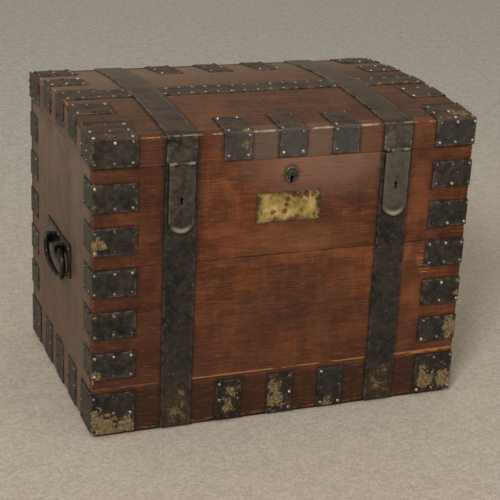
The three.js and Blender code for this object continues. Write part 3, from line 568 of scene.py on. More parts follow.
def front_tint(s):
    """Orange where the wax has worn, a painted grey sheen under the lid, darker at the foot and down the
    left, painted shade beside the left hasp, and dirt with painted shade round the escutcheon.
    """
    ragged = (s.noise(0.05, 4.0) - 0.5) * 0.2
    s.over(s.ease(s.z + ragged, 0.38, 0.15), (76, 42, 27), 0.5)
    s.over(s.ease(s.x, -0.2, -0.235), (60, 32, 20), 0.26)
    for place, reach, colour, strength, broken in FRONT_PATCHES:
        patch = s.front_spot(place, reach)
        s.over(patch * s.ease(ragged, *broken) if broken else patch, colour, strength)
    dark_patch = s.front_spot((0.03, 0.26), (0.2, 0.11)) * s.patchy(0.06, 0.34, 0.56)
    s.over(dark_patch, (56, 38, 29), 0.46)
    joint_lines(s)
    s.over(hasp_shade(s), HASP_SHADE, 0.5)
    # Dirt and painted shade round the escutcheon.
    s.over(s.front_spot((0.0, ESCUTCHEON), (22 * MM, 26 * MM), 0.6, 1.0), (44, 28, 22), 0.6)
    scratches = s.front_spot((0.312, 0.314), (0.02, 0.034), 0.7)
    s.over(scratches * s.patchy((0.07, 0.07, 0.0034), 0.55, 0.66, 1.0, 0.5, 2.2), (214, 164, 124), 0.5)
    crack = s.near(s.x + s.noise((1.0, 1.0, 0.03)) * 0.008, 0.034, 1.4 * MM) * s.near(s.z, 0.14, 0.05)
    s.over(crack, (168, 108, 70), 0.3)


def joint_lines(s):
    """The joints between the front's boards: the lower one rubbed pale, the upper one dark."""
    pale = s.near(s.z, LOWER_JOINT + 0.4 * MM, 2 * MM) * s.patchy((0.05, 0.05, 0.01), 0.36, 0.5)
    s.over(pale * s.ease(s.x, -0.25, -0.2, 0.35, 1.0), (196, 158, 108), 0.85)
    dark = s.near(s.z, UPPER_JOINT, 2.4 * MM) * s.patchy((0.06, 0.06, 0.01), 0.34, 0.48)
    s.over(dark, (26, 15, 11), 0.85)
    glow = s.near(s.z, LOWER_JOINT - 3 * MM, 6 * MM) * s.ease(s.x, 0.2, 0.3)
    s.over(glow * s.patchy((0.03, 0.03, 0.004), 0.4, 0.6), (206, 124, 56), 0.8)


def bottom_tint(s):
    """The bottom board: nearly black with old wax, its lower arris rubbed."""
    front_tint(s)
    s.over(s.ease(s.z, LOWER_JOINT - 6 * MM, LOWER_JOINT - 16 * MM), (34, 21, 14), 0.62)
    rub = s.ease(s.z, FOOT + 9 * MM, FOOT) * s.patchy((0.03, 0.03, 0.006), 0.46, 0.6)
    s.over(rub, (150, 94, 48), 0.7)


def end_tint(s):
    """The ends: paler and greyer towards the top, a painted shadow of the handle towards the front, with one
    long scratch.
    """
    s.over(s.ease(s.z, 0.3, 0.56) * s.patchy(0.1, 0.36, 0.6, 4.0, 0.55, 2.0), (136, 116, 104), 0.42)
    # Painted shadow of the handle, falling towards the front.
    dark_patch = s.spot((0.0, -0.07, 0.33), (1.0, 0.16, 0.22)) * s.patchy(0.05, 0.36, 0.62, 4.0)
    s.over(dark_patch, (52, 38, 28), 0.6)
    slant = s.z - s.y * 0.7 + s.noise(0.03) * 0.008
    scratch = s.near(slant, 0.392, 1.6 * MM) * s.patchy(0.02, 0.4, 0.55) * s.near(s.y, 0.1, 0.12)
    s.over(scratch, (50, 38, 30), 0.7)


def rail_tint(s):
    """The lid's front: a painted grey sheen in its middle, lighter to the right, its top arris rubbed pale.
    """
    s.over(s.ease(s.x, -0.2, -0.235), (78, 52, 38), 0.5)
    # Painted grey sheen in the middle of the lid's front.
    s.over(s.front_spot((0.0, 0.6), (0.2, 0.12)), (106, 90, 80), 0.74)
    s.over(s.front_spot((0.19, 0.6), (0.16, 0.1)), (124, 86, 64), 0.4)
    s.over(hasp_shade(s), HASP_SHADE, 0.3)
    arris = s.ease(s.z, LID_EDGE - 3.5 * MM, LID_EDGE - MM) * s.ease(s.y, 6 * MM - OAK_Y, 2 * MM - OAK_Y)
    arris = arris * s.patchy(0.03, 0.44, 0.54, 5.0, 0.65, 4.0)
    s.over(arris * s.front_spot((0.07, 0.61), (0.22, 0.1), 0.6), (206, 184, 160), 0.8)
    s.over(arris, (160, 96, 58), 0.25)


def top_tint(s):
    """The lid's top: darker at the left, paler towards the back with a painted sheen."""
    s.over(s.ease(s.x, -0.2, -0.3), (58, 42, 30), 0.4)
    # Paler towards the back: a painted sheen.
    s.over(s.ease(s.y * 0.9 - s.x * 0.25, -0.1, 0.24), (146, 118, 92), 0.66)


def iron(name, slot, tones, tan, gloss, rim_share, dust_share, tint=None):
    """Blackened iron: mottled and pitted, bright at its edge with wear and a painted highlight, rusty at its
    bends, bare in worn patches.
    """
    s = Shader(name, slot)
    fine = s.noise(0.0022, 2.0, 0.6)
    mottle = s.noise(0.012, 4.0, 0.6)
    cloud = s.noise(0.07)
    s.colour = s.ramp(s.total((mottle, 0.8), (cloud, 0.7), (fine, 0.6)), (0.28, 0.74), tones)
    specks = s.total((s.noise(0.004, 3.0, 0.6, 2.0), 1.0), (mottle, 0.5))
    s.over(s.ease(specks, 0.66, 0.74), (140, 129, 110), 0.55)
    s.over(s.patchy(0.035, 0.55, 0.7, 4.0, 0.6, 6.0), (84, 60, 42), 0.4)
    smear = s.total((s.noise((0.05, 0.016, 0.05), 5.0, 0.65, 3.0), 1.4), (mottle, 0.6))
    dust = s.ease(s.z, LID_EDGE - 4 * MM, LID_EDGE + 4 * MM) * s.ease(smear, 0.3, 0.66, 0.1, 1.0)
    s.over(dust, (112, 82, 54), 0.6)
    s.over(s.ease(abs(s.x), OAK_X + 0.5 * MM, OAK_X + 2 * MM), (86, 80, 66), dust_share)
    # Worn bright edges with a painted highlight.
    s.over(s.attribute("rim") * s.patchy(0.012, 0.42, 0.58, 4.0), (158, 148, 130), rim_share)
    if tint:
        tint(s)
    bend = s.total((s.attribute("bend"), 1.0), (s.noise(0.008), 1.4))
    s.over(s.ease(bend, 0.95, 1.15), (150, 104, 62), 0.6)
    patch = s.attribute("bare")
    ragged = s.total((s.noise(0.016, 5.0, 0.68), 2.0), (patch, 1.0), (s.noise(0.0035, 2.0), 0.5))
    bare = s.ease(ragged, 0.66, 0.71)
    worn = [[value * share for value in tan] for share in WORN_SHARES]
    s.over(bare, s.ramp(s.noise(0.007, 4.0, 0.6), (0.32, 0.5, 0.68), worn))
    roughness = s.ease(mottle, 0.3, 0.7, gloss, gloss + 0.2) + bare * 0.25
    height = s.total((mottle, 0.8), (fine, 0.35), (bare, -0.5))
    return s.done(roughness, (1.0 - bare) * 0.45, height)


def hasp_edge(s):
    """Distance out from the rim of the nearer hasp, below zero on the hasp itself."""
    return s.length(abs(abs(s.x) - STRAP_X), HASP_END - s.z) - HASP_WIDTH / 2


def plate_tint(s):
    """The plates: handled lighter across the lid's front, darker along the foot."""
    front = s.ease(s.z, LID_FOOT, LID_FOOT + 4 * MM) * s.ease(s.y, -0.265, -0.27)
    handled = front * s.ease(s.x, -0.2, -0.08) * s.ease(s.x, 0.3, 0.2, 0.4, 1.0)
    s.over(handled, (132, 130, 124), 0.2)
    s.over(s.ease(s.z, 0.13, 0.08), (20, 17, 14), 0.3)


def strap_tint(s):
    """The straps: a painted shadow round the hasps, brown with damp at the foot."""
    stain = s.ease(s.z, 0.13, 0.05) * s.patchy((0.006, 0.03, 0.03), 0.4, 0.58, 5.0, 0.65)
    s.over(stain, (94, 68, 42), 0.42)
    # Painted shadow of the hasps on the straps.
    s.over(s.ease(s.y, -0.26, -0.27) * s.near(hasp_edge(s), 0.0, 5 * MM), (14, 12, 10), 0.7)


def hasp_tint(s):
    """The right hasp handled lighter; a painted highlight on the lip round the end with painted shade above
    it, and painted highlights along the long edges.
    """
    s.over(s.ease(s.x, 0.1, 0.2), (124, 116, 102), 0.32)
    edge = hasp_edge(s)
    # Painted highlight on the lip round the hasp's end.
    lip = s.near(edge, -5 * MM, 6 * MM) * s.ease(s.z, HASP_END - 8 * MM, HASP_END - 20 * MM)
    s.over(lip, (176, 166, 146), 0.5)
    # Painted shade above the lip.
    lip_shade = s.near(edge, -14 * MM, 9 * MM) * s.ease(s.z, HASP_END, HASP_END - 12 * MM)
    s.over(lip_shade, (34, 30, 25), 0.35)
    # Painted highlights along the hasp's long edges.
    s.over(s.near(edge, -1.5 * MM, 2.5 * MM) * s.patchy(0.02, 0.4, 0.6, 4.0), (150, 140, 120), 0.25)


def fold_tint(s):
    """The lid straps: a painted highlight along the fold over the front edge with painted shade in the crease
    above it; on the top, darker in front and a painted sheen behind.
    """
    front = s.ease(s.y, -0.25, -0.26)
    # Painted highlight along the fold over the front edge.
    line = s.near(s.z, LID_EDGE + MM, 2 * MM) * front * s.patchy(0.02, 0.38, 0.5, 4.0)
    s.over(line, (184, 170, 144), 0.75)
    # Painted shade in the crease above the fold.
    s.over(s.near(s.z, LID_EDGE + 3.5 * MM, 2 * MM) * front, (22, 18, 15), 0.5)
    top = s.ease(s.z, LID_EDGE - 4 * MM, LID_EDGE + 2 * MM)
    # On the top: darker towards the front and a painted sheen towards the back.
    s.over(top * s.ease(s.y, 0.0, -0.2), (38, 32, 26), 0.24)
    s.over(top * s.ease(s.y, 0.0, 0.18), (134, 122, 106), 0.3)


def escutcheon_tint(s):
    """The escutcheon: a light rim and a light ring round the keyhole, worn bright with a painted highlight.
    """
    inward = s.spot((0.0, -IRON_Y, ESCUTCHEON), (14 * MM, 1.0, 18 * MM), 0.0)
    worn = s.ease(s.noise(0.008), 0.35, 0.6, 0.3, 1.0)
    # Worn bright with a painted highlight on the rim and round the keyhole.
    s.over(s.near(inward, 0.08, 0.14) * worn, (140, 128, 106), 0.75)
    s.over(s.near(inward, 0.6, 0.2) * worn, (126, 114, 94), 0.5)


def nail_iron():
    """Nail heads: dark, some of them rubbed bright."""
    s = Shader("nail_iron", "iron")
    s.colour = srgb(54, 47, 40)
    s.over(s.attribute("shine") * s.patchy(0.004, 0.3, 0.6, 2.0), (218, 206, 184))
    return s.done(0.26, 0.65)


def brass():
    """Aged brass sheet: yellow-olive, spotted brown, dark at its edge."""
    s = Shader("brass", "brass")
    cloud = s.noise(0.024, 4.0, 0.6)
    s.colour = s.ramp(cloud, (0.35, 0.5, 0.65), BRASS_TONES)
    blots = s.patchy(0.014, 0.62, 0.65, 3.0, 0.55, 1.4)
    fringe = s.noise(0.006, 3.0, 0.6)
    for x, z, reach in BRASS_BLOTS:
        blot = s.spot((x * MM, -IRON_Y, z * MM), (reach * MM, 0.05, reach * MM), 0.0)
        blots = s.most(blots, s.ease(s.total((blot, 1.0), (fringe, 1.8)), 0.38, 0.5))
    s.over(blots, s.ramp(s.noise(0.005), (0.4, 0.6), BRASS_STAINS), 0.92)
    low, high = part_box("nameplate")
    border = s.least(s.x - low.x, high.x - s.x, s.z - low.z, high.z - s.z) + s.noise(0.014, 4.0) * 0.022
    s.over(s.ease(border, 0.024, 0.01), (46, 40, 26), 0.9)
    return s.done(s.ease(cloud, 0.3, 0.7, 0.4, 0.58), 0.35, s.noise(0.003), 0.3, 0.2 * MM)


PLATE_IRON = iron("plate_iron", "iron", PLATE_TONES, (116, 95, 62), 0.4, 0.25, 0.3, plate_tint)
STRAP_IRON = iron("strap_iron", "iron", STRAP_TONES, (96, 74, 48), 0.44, 0.15, 0.3, strap_tint)
LID_IRON = iron("lid_strap_iron", "iron", LID_TONES, (84, 62, 42), 0.4, 0.65, 0.3, fold_tint)
HASP_IRON = iron("hasp_iron", "hasp_iron", HASP_TONES, (120, 96, 66), 0.34, 0.4, 0.0, hasp_tint)
KEY_IRON = iron("escutcheon_iron", "iron", HASP_TONES, (120, 96, 66), 0.34, 0.4, 0.0, escutcheon_tint)
# The handles' iron is painted darker, as shade.
HANDLE_IRON = iron("handle_iron", "iron", HANDLE_TONES, (84, 62, 42), 0.26, 0.3, 0.0)
NAIL_IRON = nail_iron()
BRASS = brass()


# Meshes
def link(name, data):
    """A new object in the scene."""
    thing = bpy.data.objects.new(name, data)
    bpy.context.scene.collection.objects.link(thing)
    return thing


def written(work, mesh):
    """The mesh, once worked geometry is written to it."""
    work.to_mesh(mesh)
    work.free()
    return mesh


def closed_mesh(name, verts, faces, attributes=()):
    """A mesh whose faces all look outward."""
    mesh = bpy.data.meshes.new(name)
    mesh.from_pydata([tuple(v) for v in verts], [], faces)
    for key in attributes:
        mesh.attributes.new(key, "FLOAT", "POINT").data.foreach_set("value", attributes[key])
    work = bmesh.new()
    work.from_mesh(mesh)
    bmesh.ops.recalc_face_normals(work, faces=work.faces)
    return written(work, mesh)


def settle(name, body, mesh, material, angle=SHARP_ANGLE, node=None):
    """A smooth-shaded piece that rides on a body, standing for a CAD node if one is named."""
    mesh.shade_smooth()
    mesh.set_sharp_from_angle(angle=math.radians(angle))
    mesh.materials.clear()
    mesh.materials.append(material)
    piece = link(name, mesh)
    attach(piece, body)
    if node:
        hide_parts(node)
    return piece


def join_meshes(name, body, pieces, material, node):
    """One piece from several that ride on the same body."""
    work = bmesh.new()
    for piece in pieces:
        work.from_mesh(piece.data)
        bpy.data.objects.remove(piece)
    return settle(name, body, written(work, bpy.data.meshes.new(name)), material, node=node)


def tube_faces(rings, sides, start=0, closed=False):
    """Faces from ring to ring of points, and from the last back to the first where closed."""
    faces = []
    for ring in range(rings if closed else rings - 1):
        a = start + ring * sides
        b = start + (ring + 1) % rings * sides
        faces += [[a + k, a + (k + 1) % sides, b + (k + 1) % sides, b + k] for k in range(sides)]
    return faces


def circle(centre, across, up, radius, sides):
    """Points of a circle."""
    angles = [2 * math.pi * k / sides for k in range(sides)]
    return [centre + (across * math.cos(a) + up * math.sin(a)) * radius for a in angles]


def carve(piece, *cutters):
    """Cuts the cutters out of a piece and removes them."""
    for cutter in cutters:
        modifier = piece.modifiers.new("cut", "BOOLEAN")
        modifier.operation = "DIFFERENCE"
        modifier.solver = "EXACT"
        modifier.object = cutter
    bpy.context.view_layer.update()
    shape = piece.evaluated_get(bpy.context.evaluated_depsgraph_get())
    mesh = bpy.data.meshes.new_from_object(shape)
    piece.modifiers.clear()
    piece.data = mesh
    for cutter in cutters:
        bpy.data.objects.remove(cutter)


def prism(outline, low, high):
    """A cutter: an outline of [x, z] points between two places from front to back."""
    count = len(outline)
    verts = [(x, y, z) for y in (low, high) for x, z in outline]
    ends = [list(range(count)), list(range(count, 2 * count))]
    return link("cutter", closed_mesh("cutter", verts, ends + tube_faces(2, count)))


def box_cutter(low, high):
    outline = [(low[X], low[Z]), (high[X], low[Z]), (high[X], high[Z]), (low[X], high[Z])]
    return prism(outline, low[Y], high[Y])


def pocket(node, open_low="", open_high=""):
    """Cutter for the place of a let-in piece, run on past its low or high side on the axes that are open."""
    low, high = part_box(node)
    low = [value - (OVERRUN if axis in open_low else SKIN_GAP) for axis, value in zip("xyz", low)]
    high = [value + (OVERRUN if axis in open_high else SKIN_GAP) for axis, value in zip("xyz", high)]
    return box_cutter(low, high)


def keyhole(x, z):
    """Outline of a keyhole, its bow centred on (x, z)."""
    start = math.acos(KEY_SLOT / 2 / KEY_BOW)
    arc = [-start + (math.pi + 2 * start) * i / KEY_STEPS for i in range(KEY_STEPS + 1)]
    points = [(x + KEY_BOW * math.cos(a), z + KEY_BOW * math.sin(a)) for a in arc]
    foot = z + KEY_BOW - KEY_HEIGHT
    return points + [(x - KEY_SLOT / 2, foot), (x + KEY_SLOT / 2, foot)]


def dress(node, material):
    """A CAD node's own shape with its edges eased, standing for the node."""
    source = frame["nodes"][node]
    bevel = BEVELS[node.removesuffix("_left").removesuffix("_right")] * MM
    work = bmesh.new()
    work.from_mesh(source.data)
    bmesh.ops.remove_doubles(work, verts=work.verts, dist=0.01 * MM)
    bmesh.ops.dissolve_limit(work, angle_limit=math.radians(1), verts=work.verts, edges=work.edges)
    rim = work.verts.layers.float.new("rim")
    limit = math.radians(30)
    sharp = [e for e in work.edges if len(e.link_faces) == 2 and e.calc_face_angle() > limit]
    eased = bmesh.ops.bevel(
        work, geom=sharp, offset=bevel, segments=2, profile=0.5, affect="EDGES", clamp_overlap=True)
    faces = set(eased["faces"])
    for vert in eased["verts"]:
        vert[rim] = 1.0 if faces.issuperset(vert.link_faces) else 0.0
    mesh = written(work, bpy.data.meshes.new(node))
    settle(f"{node}_dressed", source["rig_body"], mesh, material, node=node)


# Boards
def spaced(low, high):
    """Places along an edge: close together where it is rounded, then about a step apart."""
    ends = [ARRIS_ROUND * share for share in EDGE_SHARES]
    first, last = low + ends[-1], high - ends[-1]
    count = max(1, round((last - first) / BOARD_STEP))
    inner = [first + (last - first) * i / count for i in range(count + 1)]
    return [low + end for end in ends[:-1]] + inner + [high - end for end in reversed(ends[:-1])]


def on_arris(point):
    """True where two outer faces of the chest meet."""
    sides = (abs(point.x) > OAK_X - CLOSE, abs(point.y) > OAK_Y - CLOSE, point.z > LID_EDGE - CLOSE)
    return sum(sides) > 1


def board(node, body, low, high, material, warp=lambda point: point):
    """A board with worn, rounded edges in a node's place; warp moves its points, for the lid's dome."""
    axes = [spaced(low[a], high[a]) for a in range(3)]
    keys, faces = {}, []
    for axis in range(3):
        a, b = (axis + 1) % 3, (axis + 2) % 3
        for end, i, j in product((0, len(axes[axis]) - 1), range(len(axes[a]) - 1), range(len(axes[b]) - 1)):
            corners = []
            for di, dj in ((0, 0), (1, 0), (1, 1), (0, 1)):
                key = [0, 0, 0]
                key[axis], key[a], key[b] = end, i + di, j + dj
                corners.append(keys.setdefault(tuple(key), len(keys)))
            faces.append(corners)
    verts, edges = [], []
    for key in keys:
        point = Vector(axes[a][key[a]] for a in range(3))
        place = warp(point)
        arris = on_arris(place)
        wave = 1 + ROUND_WAVE_SHARE * noise.noise(place * ROUND_WAVES)
        radius = (ARRIS_ROUND if arris else JOINT_ROUND) * wave
        core = Vector(min(max(point[a], low[a] + radius), high[a] - radius) for a in range(3))
        out = point - core
        verts.append(warp(core + out.normalized() * radius if out.length > 0 else point))
        reach = sorted(min(point[a] - low[a], high[a] - point[a]) for a in range(3))[1]
        edges.append(max(0.0, 1 - reach / WEAR_REACH) * (1.0 if arris else JOINT_WEAR_SHARE))
    name = f"{node}_oak"
    return settle(name, body, closed_mesh(name, verts, faces, {"edge": edges}), material, OAK_ANGLE, node)


def domed(point):
    """Bends a board to the dome."""
    return point + Vector((0, 0, dome(min(abs(point.y), OAK_Y)) - CREST))


def domed_above_foot(point):
    """Bends a board's top to the dome and leaves its foot flat."""
    share = (point.z - LID_FOOT) / (CREST - LID_FOOT)
    return point + Vector((0, 0, (dome(min(abs(point.y), OAK_Y)) - CREST) * share))


def make_boards():
    fronts = (("lower", 0.4, bottom_tint), ("middle", 1.9, front_tint), ("upper", 3.3, front_tint))
    for part, shift, tint in fronts:
        node = f"front_board_{part}"
        upper = board(node, "box", *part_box(node), oak(f"front_oak_{part}", "x", shift, FRONT_OAK, tint))
    carve_locks(upper)
    back = oak("back_oak", "x", 6.2, FRONT_OAK)
    board("back_board", "box", (-OAK_X, INNER_Y, FOOT), (OAK_X, OAK_Y, RIM), back)
    ends = oak("end_oak", "z", 8.7, END_OAK, end_tint)
    end_rail = oak("end_rail_oak", "y", 16.6, END_OAK)
    rail = oak("rail_oak", "x", 14.2, FRONT_OAK, rail_tint)
    sides = [(name, *sorted((side * INNER_X, side * OAK_X))) for name, side in SIDES]
    for name, left, right in sides:
        board(f"{name}_end_board", "box", (left, -END_Y, FOOT), (right, END_Y, RIM), ends)
    low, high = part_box("lid_front_rail")
    front_rail = board("lid_front_rail", "lid", low, (high.x, high.y, CREST), rail, domed_above_foot)
    carve(front_rail, pocket("link_plate", "z"))
    board("lid_back_rail", "lid", (-OAK_X, END_Y, LID_FOOT), (OAK_X, OAK_Y, CREST), rail, domed_above_foot)
    top = CREST - TOP_THICKNESS - SKIN_GAP
    for name, left, right in sides:
        low, high = (left, -END_Y, LID_FOOT), (right, END_Y, top)
        board(f"lid_{name}_rail", "lid", low, high, end_rail, domed_above_foot)
    for end, shift in (("front", 10.4), ("back", 12.9)):
        node = f"lid_top_board_{end}"
        low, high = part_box(node)
        grain = oak(f"top_oak_{end}", "x", shift, TOP_OAK, top_tint)
        board(node, "lid", (low.x, low.y, CREST - TOP_THICKNESS), (high.x, high.y, CREST), grain, domed)


def carve_locks(front):
    """Places in the front board for the hasps' locks, their staples, the box lock and its key."""
    cutters = []
    for side_name, side in SIDES:
        node = f"hasp_lock_case_{side_name}"
        low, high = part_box(node)
        left, right = span(side * STRAP_X, STAPLE_SLOT)
        slot = box_cutter((left, low.y - OVERRUN, SLOT_FOOT), (right, high.y, RIM + OVERRUN))
        cutters += [pocket(node, "y"), slot]
    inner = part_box("main_lock_case")[0].y + OVERRUN
    cutters += [pocket("main_lock_case", "", "yz"), prism(keyhole(0, MAIN_KEY), -OAK_Y - OVERRUN, inner)]
    carve(front, *cutters)


# Bent iron
def bent_line(points, radii=(), step=SHEET_STEP, turn=1):
    """Outer line of bent iron through 2-D points. radii holds each inner point's bend, 0 for a smooth curve;
    turn is -1 where the outside is on the left of the line. Gives a list of (point, outward normal, distance
    along), and the distances of the bends."""
    points = [Vector(p) for p in points]
    normals = []
    for a, b in zip(points, points[1:]):
        along = (b - a).normalized()
        normals.append(Vector((along.y, -along.x)) * turn)
    placed, marks = [(points[0], normals[0])], []
    for point, radius, before, after in zip(points[1:], radii, normals, normals[1:]):
        if radius == 0:
            placed.append((point, (before + after).normalized()))
            continue
        centre = point - (before + after) * (radius / (1 + before.dot(after)))
        marks.append(len(placed) + ARC_STEPS // 2)
        for k in range(ARC_STEPS + 1):
            turned = before.slerp(after, k / ARC_STEPS)
            placed.append((centre + turned * radius, turned))
    placed.append((points[-1], normals[-1]))
    line, distance, bends = [(*placed[0], 0.0)], 0.0, []
    for i, ((previous, previous_out), (point, out)) in enumerate(zip(placed, placed[1:]), 1):
        length = (point - previous).length
        count = max(1, round(length / step))
        for share in [k / count for k in range(1, count)]:
            turned = previous_out.lerp(out, share).normalized()
            line.append((previous.lerp(point, share), turned, distance + length * share))
        distance += length
        line.append((point, out, distance))
        if i in marks:
            bends.append(distance)
    return line, bends


def with_ends(places, total):
    """Adds a place a chamfer in from both ends of a list of distances."""
    inner = [p for p in places if SHEET_CHAMFER * 2 < p < total - SHEET_CHAMFER * 2]
    return [0.0, SHEET_CHAMFER] + inner + [total - SHEET_CHAMFER, total]


def at_distance(line, distance):
    """Point and normal at a distance along a bent line."""
    for (p0, n0, d0), (p1, n1, d1) in zip(line, line[1:]):
        if distance <= d1:
            break
    share = (distance - d0) / max(d1 - d0, 1e-9)
    return p0.lerp(p1, share), n0.lerp(n1, share).normalized()


def upright(flip_x, flip_y):
    """Section in X and Y, drawn along Z."""
    def place(p, t=0.0):
        return Vector((flip_x * p.x, flip_y * p.y, t))
    return place, place


def along_front(flip_y=1):
    """Section in Y and Z, drawn along X."""
    def place(p, t=0.0):
        return Vector((t, flip_y * p.x, p.y))
    return place, place


def along_end(flip_x, foot=LID_FOOT):
    """Section in X and Z, drawn along Y; it is level up to its foot and follows the dome at its top."""
    def place(p, t):
        share = min(1.0, max(0.0, (p.y - foot) / (CREST - foot)))
        return Vector((flip_x * p.x, t, p.y + (dome(t) - CREST) * share))
    return place, lambda n: Vector((flip_x * n.x, 0, n.y))


def shell_faces(rows, columns):
    """Faces of a closed shell: an outer grid of points, an inner one after it, and their border."""
    inner = rows * columns
    faces = []
    for i, j in product(range(rows - 1), range(columns - 1)):
        a = i * columns + j
        quad = [a, a + columns, a + columns + 1, a + 1]
        faces += [quad, [inner + k for k in reversed(quad)]]
    border = list(range(columns)) + [i * columns + columns - 1 for i in range(1, rows)]
    border += [(rows - 1) * columns + j for j in range(columns - 2, -1, -1)]
    border += [i * columns for i in range(rows - 2, 0, -1)]
    return faces + [[a, b, inner + b, inner + a] for a, b in zip(border, border[1:] + border[:1])]


def fading(distance, reach):
    """1 at a distance of 0, 0 from the reach on."""
    return max(0.0, 1 - distance / reach)


def sheet(name, body, section, across, mapping, thickness=SHEET, material=PLATE_IRON, patches=(), node=None):
    """Bent iron: a section drawn across between two places. Gives the piece, and a function that finds a
    place on it and its normal there."""
    place, turn = mapping
    line, bends = section
    total = line[-1][2]
    zero = bends[0] if bends else 0.0
    low, high = across
    width = high - low
    count = max(2, round(width / SHEET_STEP))
    distances = with_ends([d for _, _, d in line], total)
    widths = with_ends([width * i / count for i in range(count + 1)], width)
    outer, inner, rims, folds, bares = [], [], [], [], []
    for d in distances:
        point, out = at_distance(line, d)
        up = turn(out)
        for w in widths:
            at = place(point, low + w)
            border = min(d, total - d, w, width - w)
            sunk = fading(border, SHEET_CHAMFER) * SHEET_CHAMFER
            ripple = SHEET_WAVE * noise.noise(at * SHEET_WAVES) * min(1.0, border / WAVE_BORDER)
            slip = Vector(noise.noise(at * CUT_WAVES + shift) for shift in CUT_SHIFTS)
            slip = (slip - up * slip.dot(up)) * (fading(border, CUT_REACH) * CUT_WAVE)
            outer.append(at + up * (ripple - sunk) + slip)
            inner.append(at - up * thickness + slip)
            rims.append(fading(border, RIM_REACH))
            folds.append(max([fading(abs(d - bend), BEND_REACH) for bend in bends] or [0.0]))
            bare = 0.0
            for along, aside, radius, strength in patches:
                away = math.hypot(d - zero - along * MM, low + w - aside * MM) / (radius * MM)
                bare = max(bare, strength * max(0.0, PATCH_PEAK - away * PATCH_FALL))
            bares.append(min(1.0, bare))
    faces = shell_faces(len(distances), len(widths))
    mesh = closed_mesh(name, outer + inner, faces, {"rim": rims * 2, "bend": folds * 2, "bare": bares * 2})

    def locate(s, t):
        point, out = at_distance(line, s + zero)
        return place(point, t), turn(out)

    return settle(name, body, mesh, material, IRON_ANGLE, node), locate


# Plates
def jitter():
    return rng.uniform(-NAIL_SLACK, NAIL_SLACK)


def drive(kind, locate, rows, columns):
    """Nails where rows and columns cross, each a little out of its place."""
    for s, t in product(rows, columns):
        nails[kind].append(locate(s + jitter(), t + jitter()))


def plate(name, body, section, mapping, rows, across, columns, node=None):
    """A plate with its nails."""
    _, locate = sheet(name, body, section, across, mapping, patches=PATCHES.get(node, ()), node=node)
    drive(body, locate, rows, columns)
    return locate


def span(place, width):
    """The two edges of a width round a place."""
    return place - width / 2, place + width / 2


def band(place, width):
    """The edges of a plate round a place, and its two columns of nails."""
    return span(place, width), span(place, width - 2 * NAIL_INSET)


def edge_plates(node, side, side_leg, levels):
    """A plate bent round a front edge, and its like round the back edge."""
    low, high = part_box(node)
    points = [(IRON_X, IRON_Y - side_leg), (IRON_X, IRON_Y), (IRON_X - CORNER_LEG, IRON_Y)]
    section = bent_line(points, [SHEET_BEND])
    rows = (*FRONT_NAILS, SIDE_NAIL, -side_leg * SIDE_NAIL_SHARE)
    first, last = low.z + NAIL_INSET, high.z - NAIL_INSET
    columns = [first + (last - first) * i / (levels - 1) for i in range(levels)]
    for name, face, replaced in ((f"{node}_iron", -1, node), (f"back_{node}", 1, None)):
        plate(name, "box", section, upright(side, face), rows, (low.z, high.z), columns, replaced)


def make_edge_plates():
    for side_name, side in SIDES:
        for number in range(1, 6):
            edge_plates(f"edge_plate_{side_name}_{number}", side, SIDE_LEG, 2)
        edge_plates(f"bottom_corner_plate_{side_name}", side, CORNER_LEG, 3)


def make_bottom_plates():
    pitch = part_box("bottom_front_plate_right")[0].x + SMALL_WIDTH / 2
    foot, top = [corner.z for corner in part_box("bottom_front_plate_centre")]
    points = [(-IRON_Y + BOTTOM_RETURN, foot), (-IRON_Y, foot), (-IRON_Y, top)]
    front = bent_line(points, [SHEET_BEND], turn=-1)
    back = bent_line([(IRON_Y, FOOT), (IRON_Y, top)])
    end = bent_line([(IRON_X, FOOT), (IRON_X, FOOT + END_HEIGHT)])
    for step_name, step in STEPS:
        node = f"bottom_front_plate_{step_name}"
        small = band(step * pitch, SMALL_WIDTH)
        plate(f"{node}_iron", "box", front, along_front(), BOTTOM_NAILS, *small, node)
        plate(f"back_bottom_plate_{step_name}", "box", back, along_front(), BOTTOM_NAILS, *small)
        wide = band(step * END_PITCH, END_WIDTH)
        for side_name, side in SIDES:
            name = f"{side_name}_end_bottom_plate_{step_name}"
            plate(name, "box", end, along_end(side), BOTTOM_NAILS, *wide)


def lid_section(outside, lift, front_foot, front_reach=None, back_foot=None):
    """Outer line of iron bent over the front edge of the lid, or over both edges."""
    stop = outside if front_reach is None else front_reach - outside
    count = round((stop + outside) / DOME_STEP)
    crown = [-outside + (stop + outside) * i / count for i in range(count + 1)]
    points = [(-outside, front_foot)] + [(y, dome(y, lift)) for y in crown]
    bends = [SHEET_BEND] + [0] * (count - 1)
    if front_reach is None:
        points.append((outside, back_foot))
        bends.append(SHEET_BEND)
    return bent_line(points, bends, turn=-1)


def make_lid_plates():
    foot = LID_FOOT + LID_PLATE_RISE
    front = lid_section(IRON_Y, SKIN_GAP + SHEET, foot, LID_REACH)
    back = lid_section(IRON_Y, SKIN_GAP + SHEET, foot, LID_BACK_REACH)
    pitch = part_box("lid_front_plate_right")[0].x + SMALL_WIDTH / 2
    for step_name, step in STEPS:
        node = f"lid_front_plate_{step_name}"
        small = band(step * pitch, SMALL_WIDTH)
        plate(f"{node}_iron", "lid", front, along_front(), LID_NAILS, *small, node)
        plate(f"lid_back_plate_{step_name}", "lid", back, along_front(-1), LID_BACK_NAILS, *small)
    for (side_name, side), face in product(SIDES, (1, -1)):
        lid_corner(f"lid_corner_plate_{side_name}", side, face, front, foot)


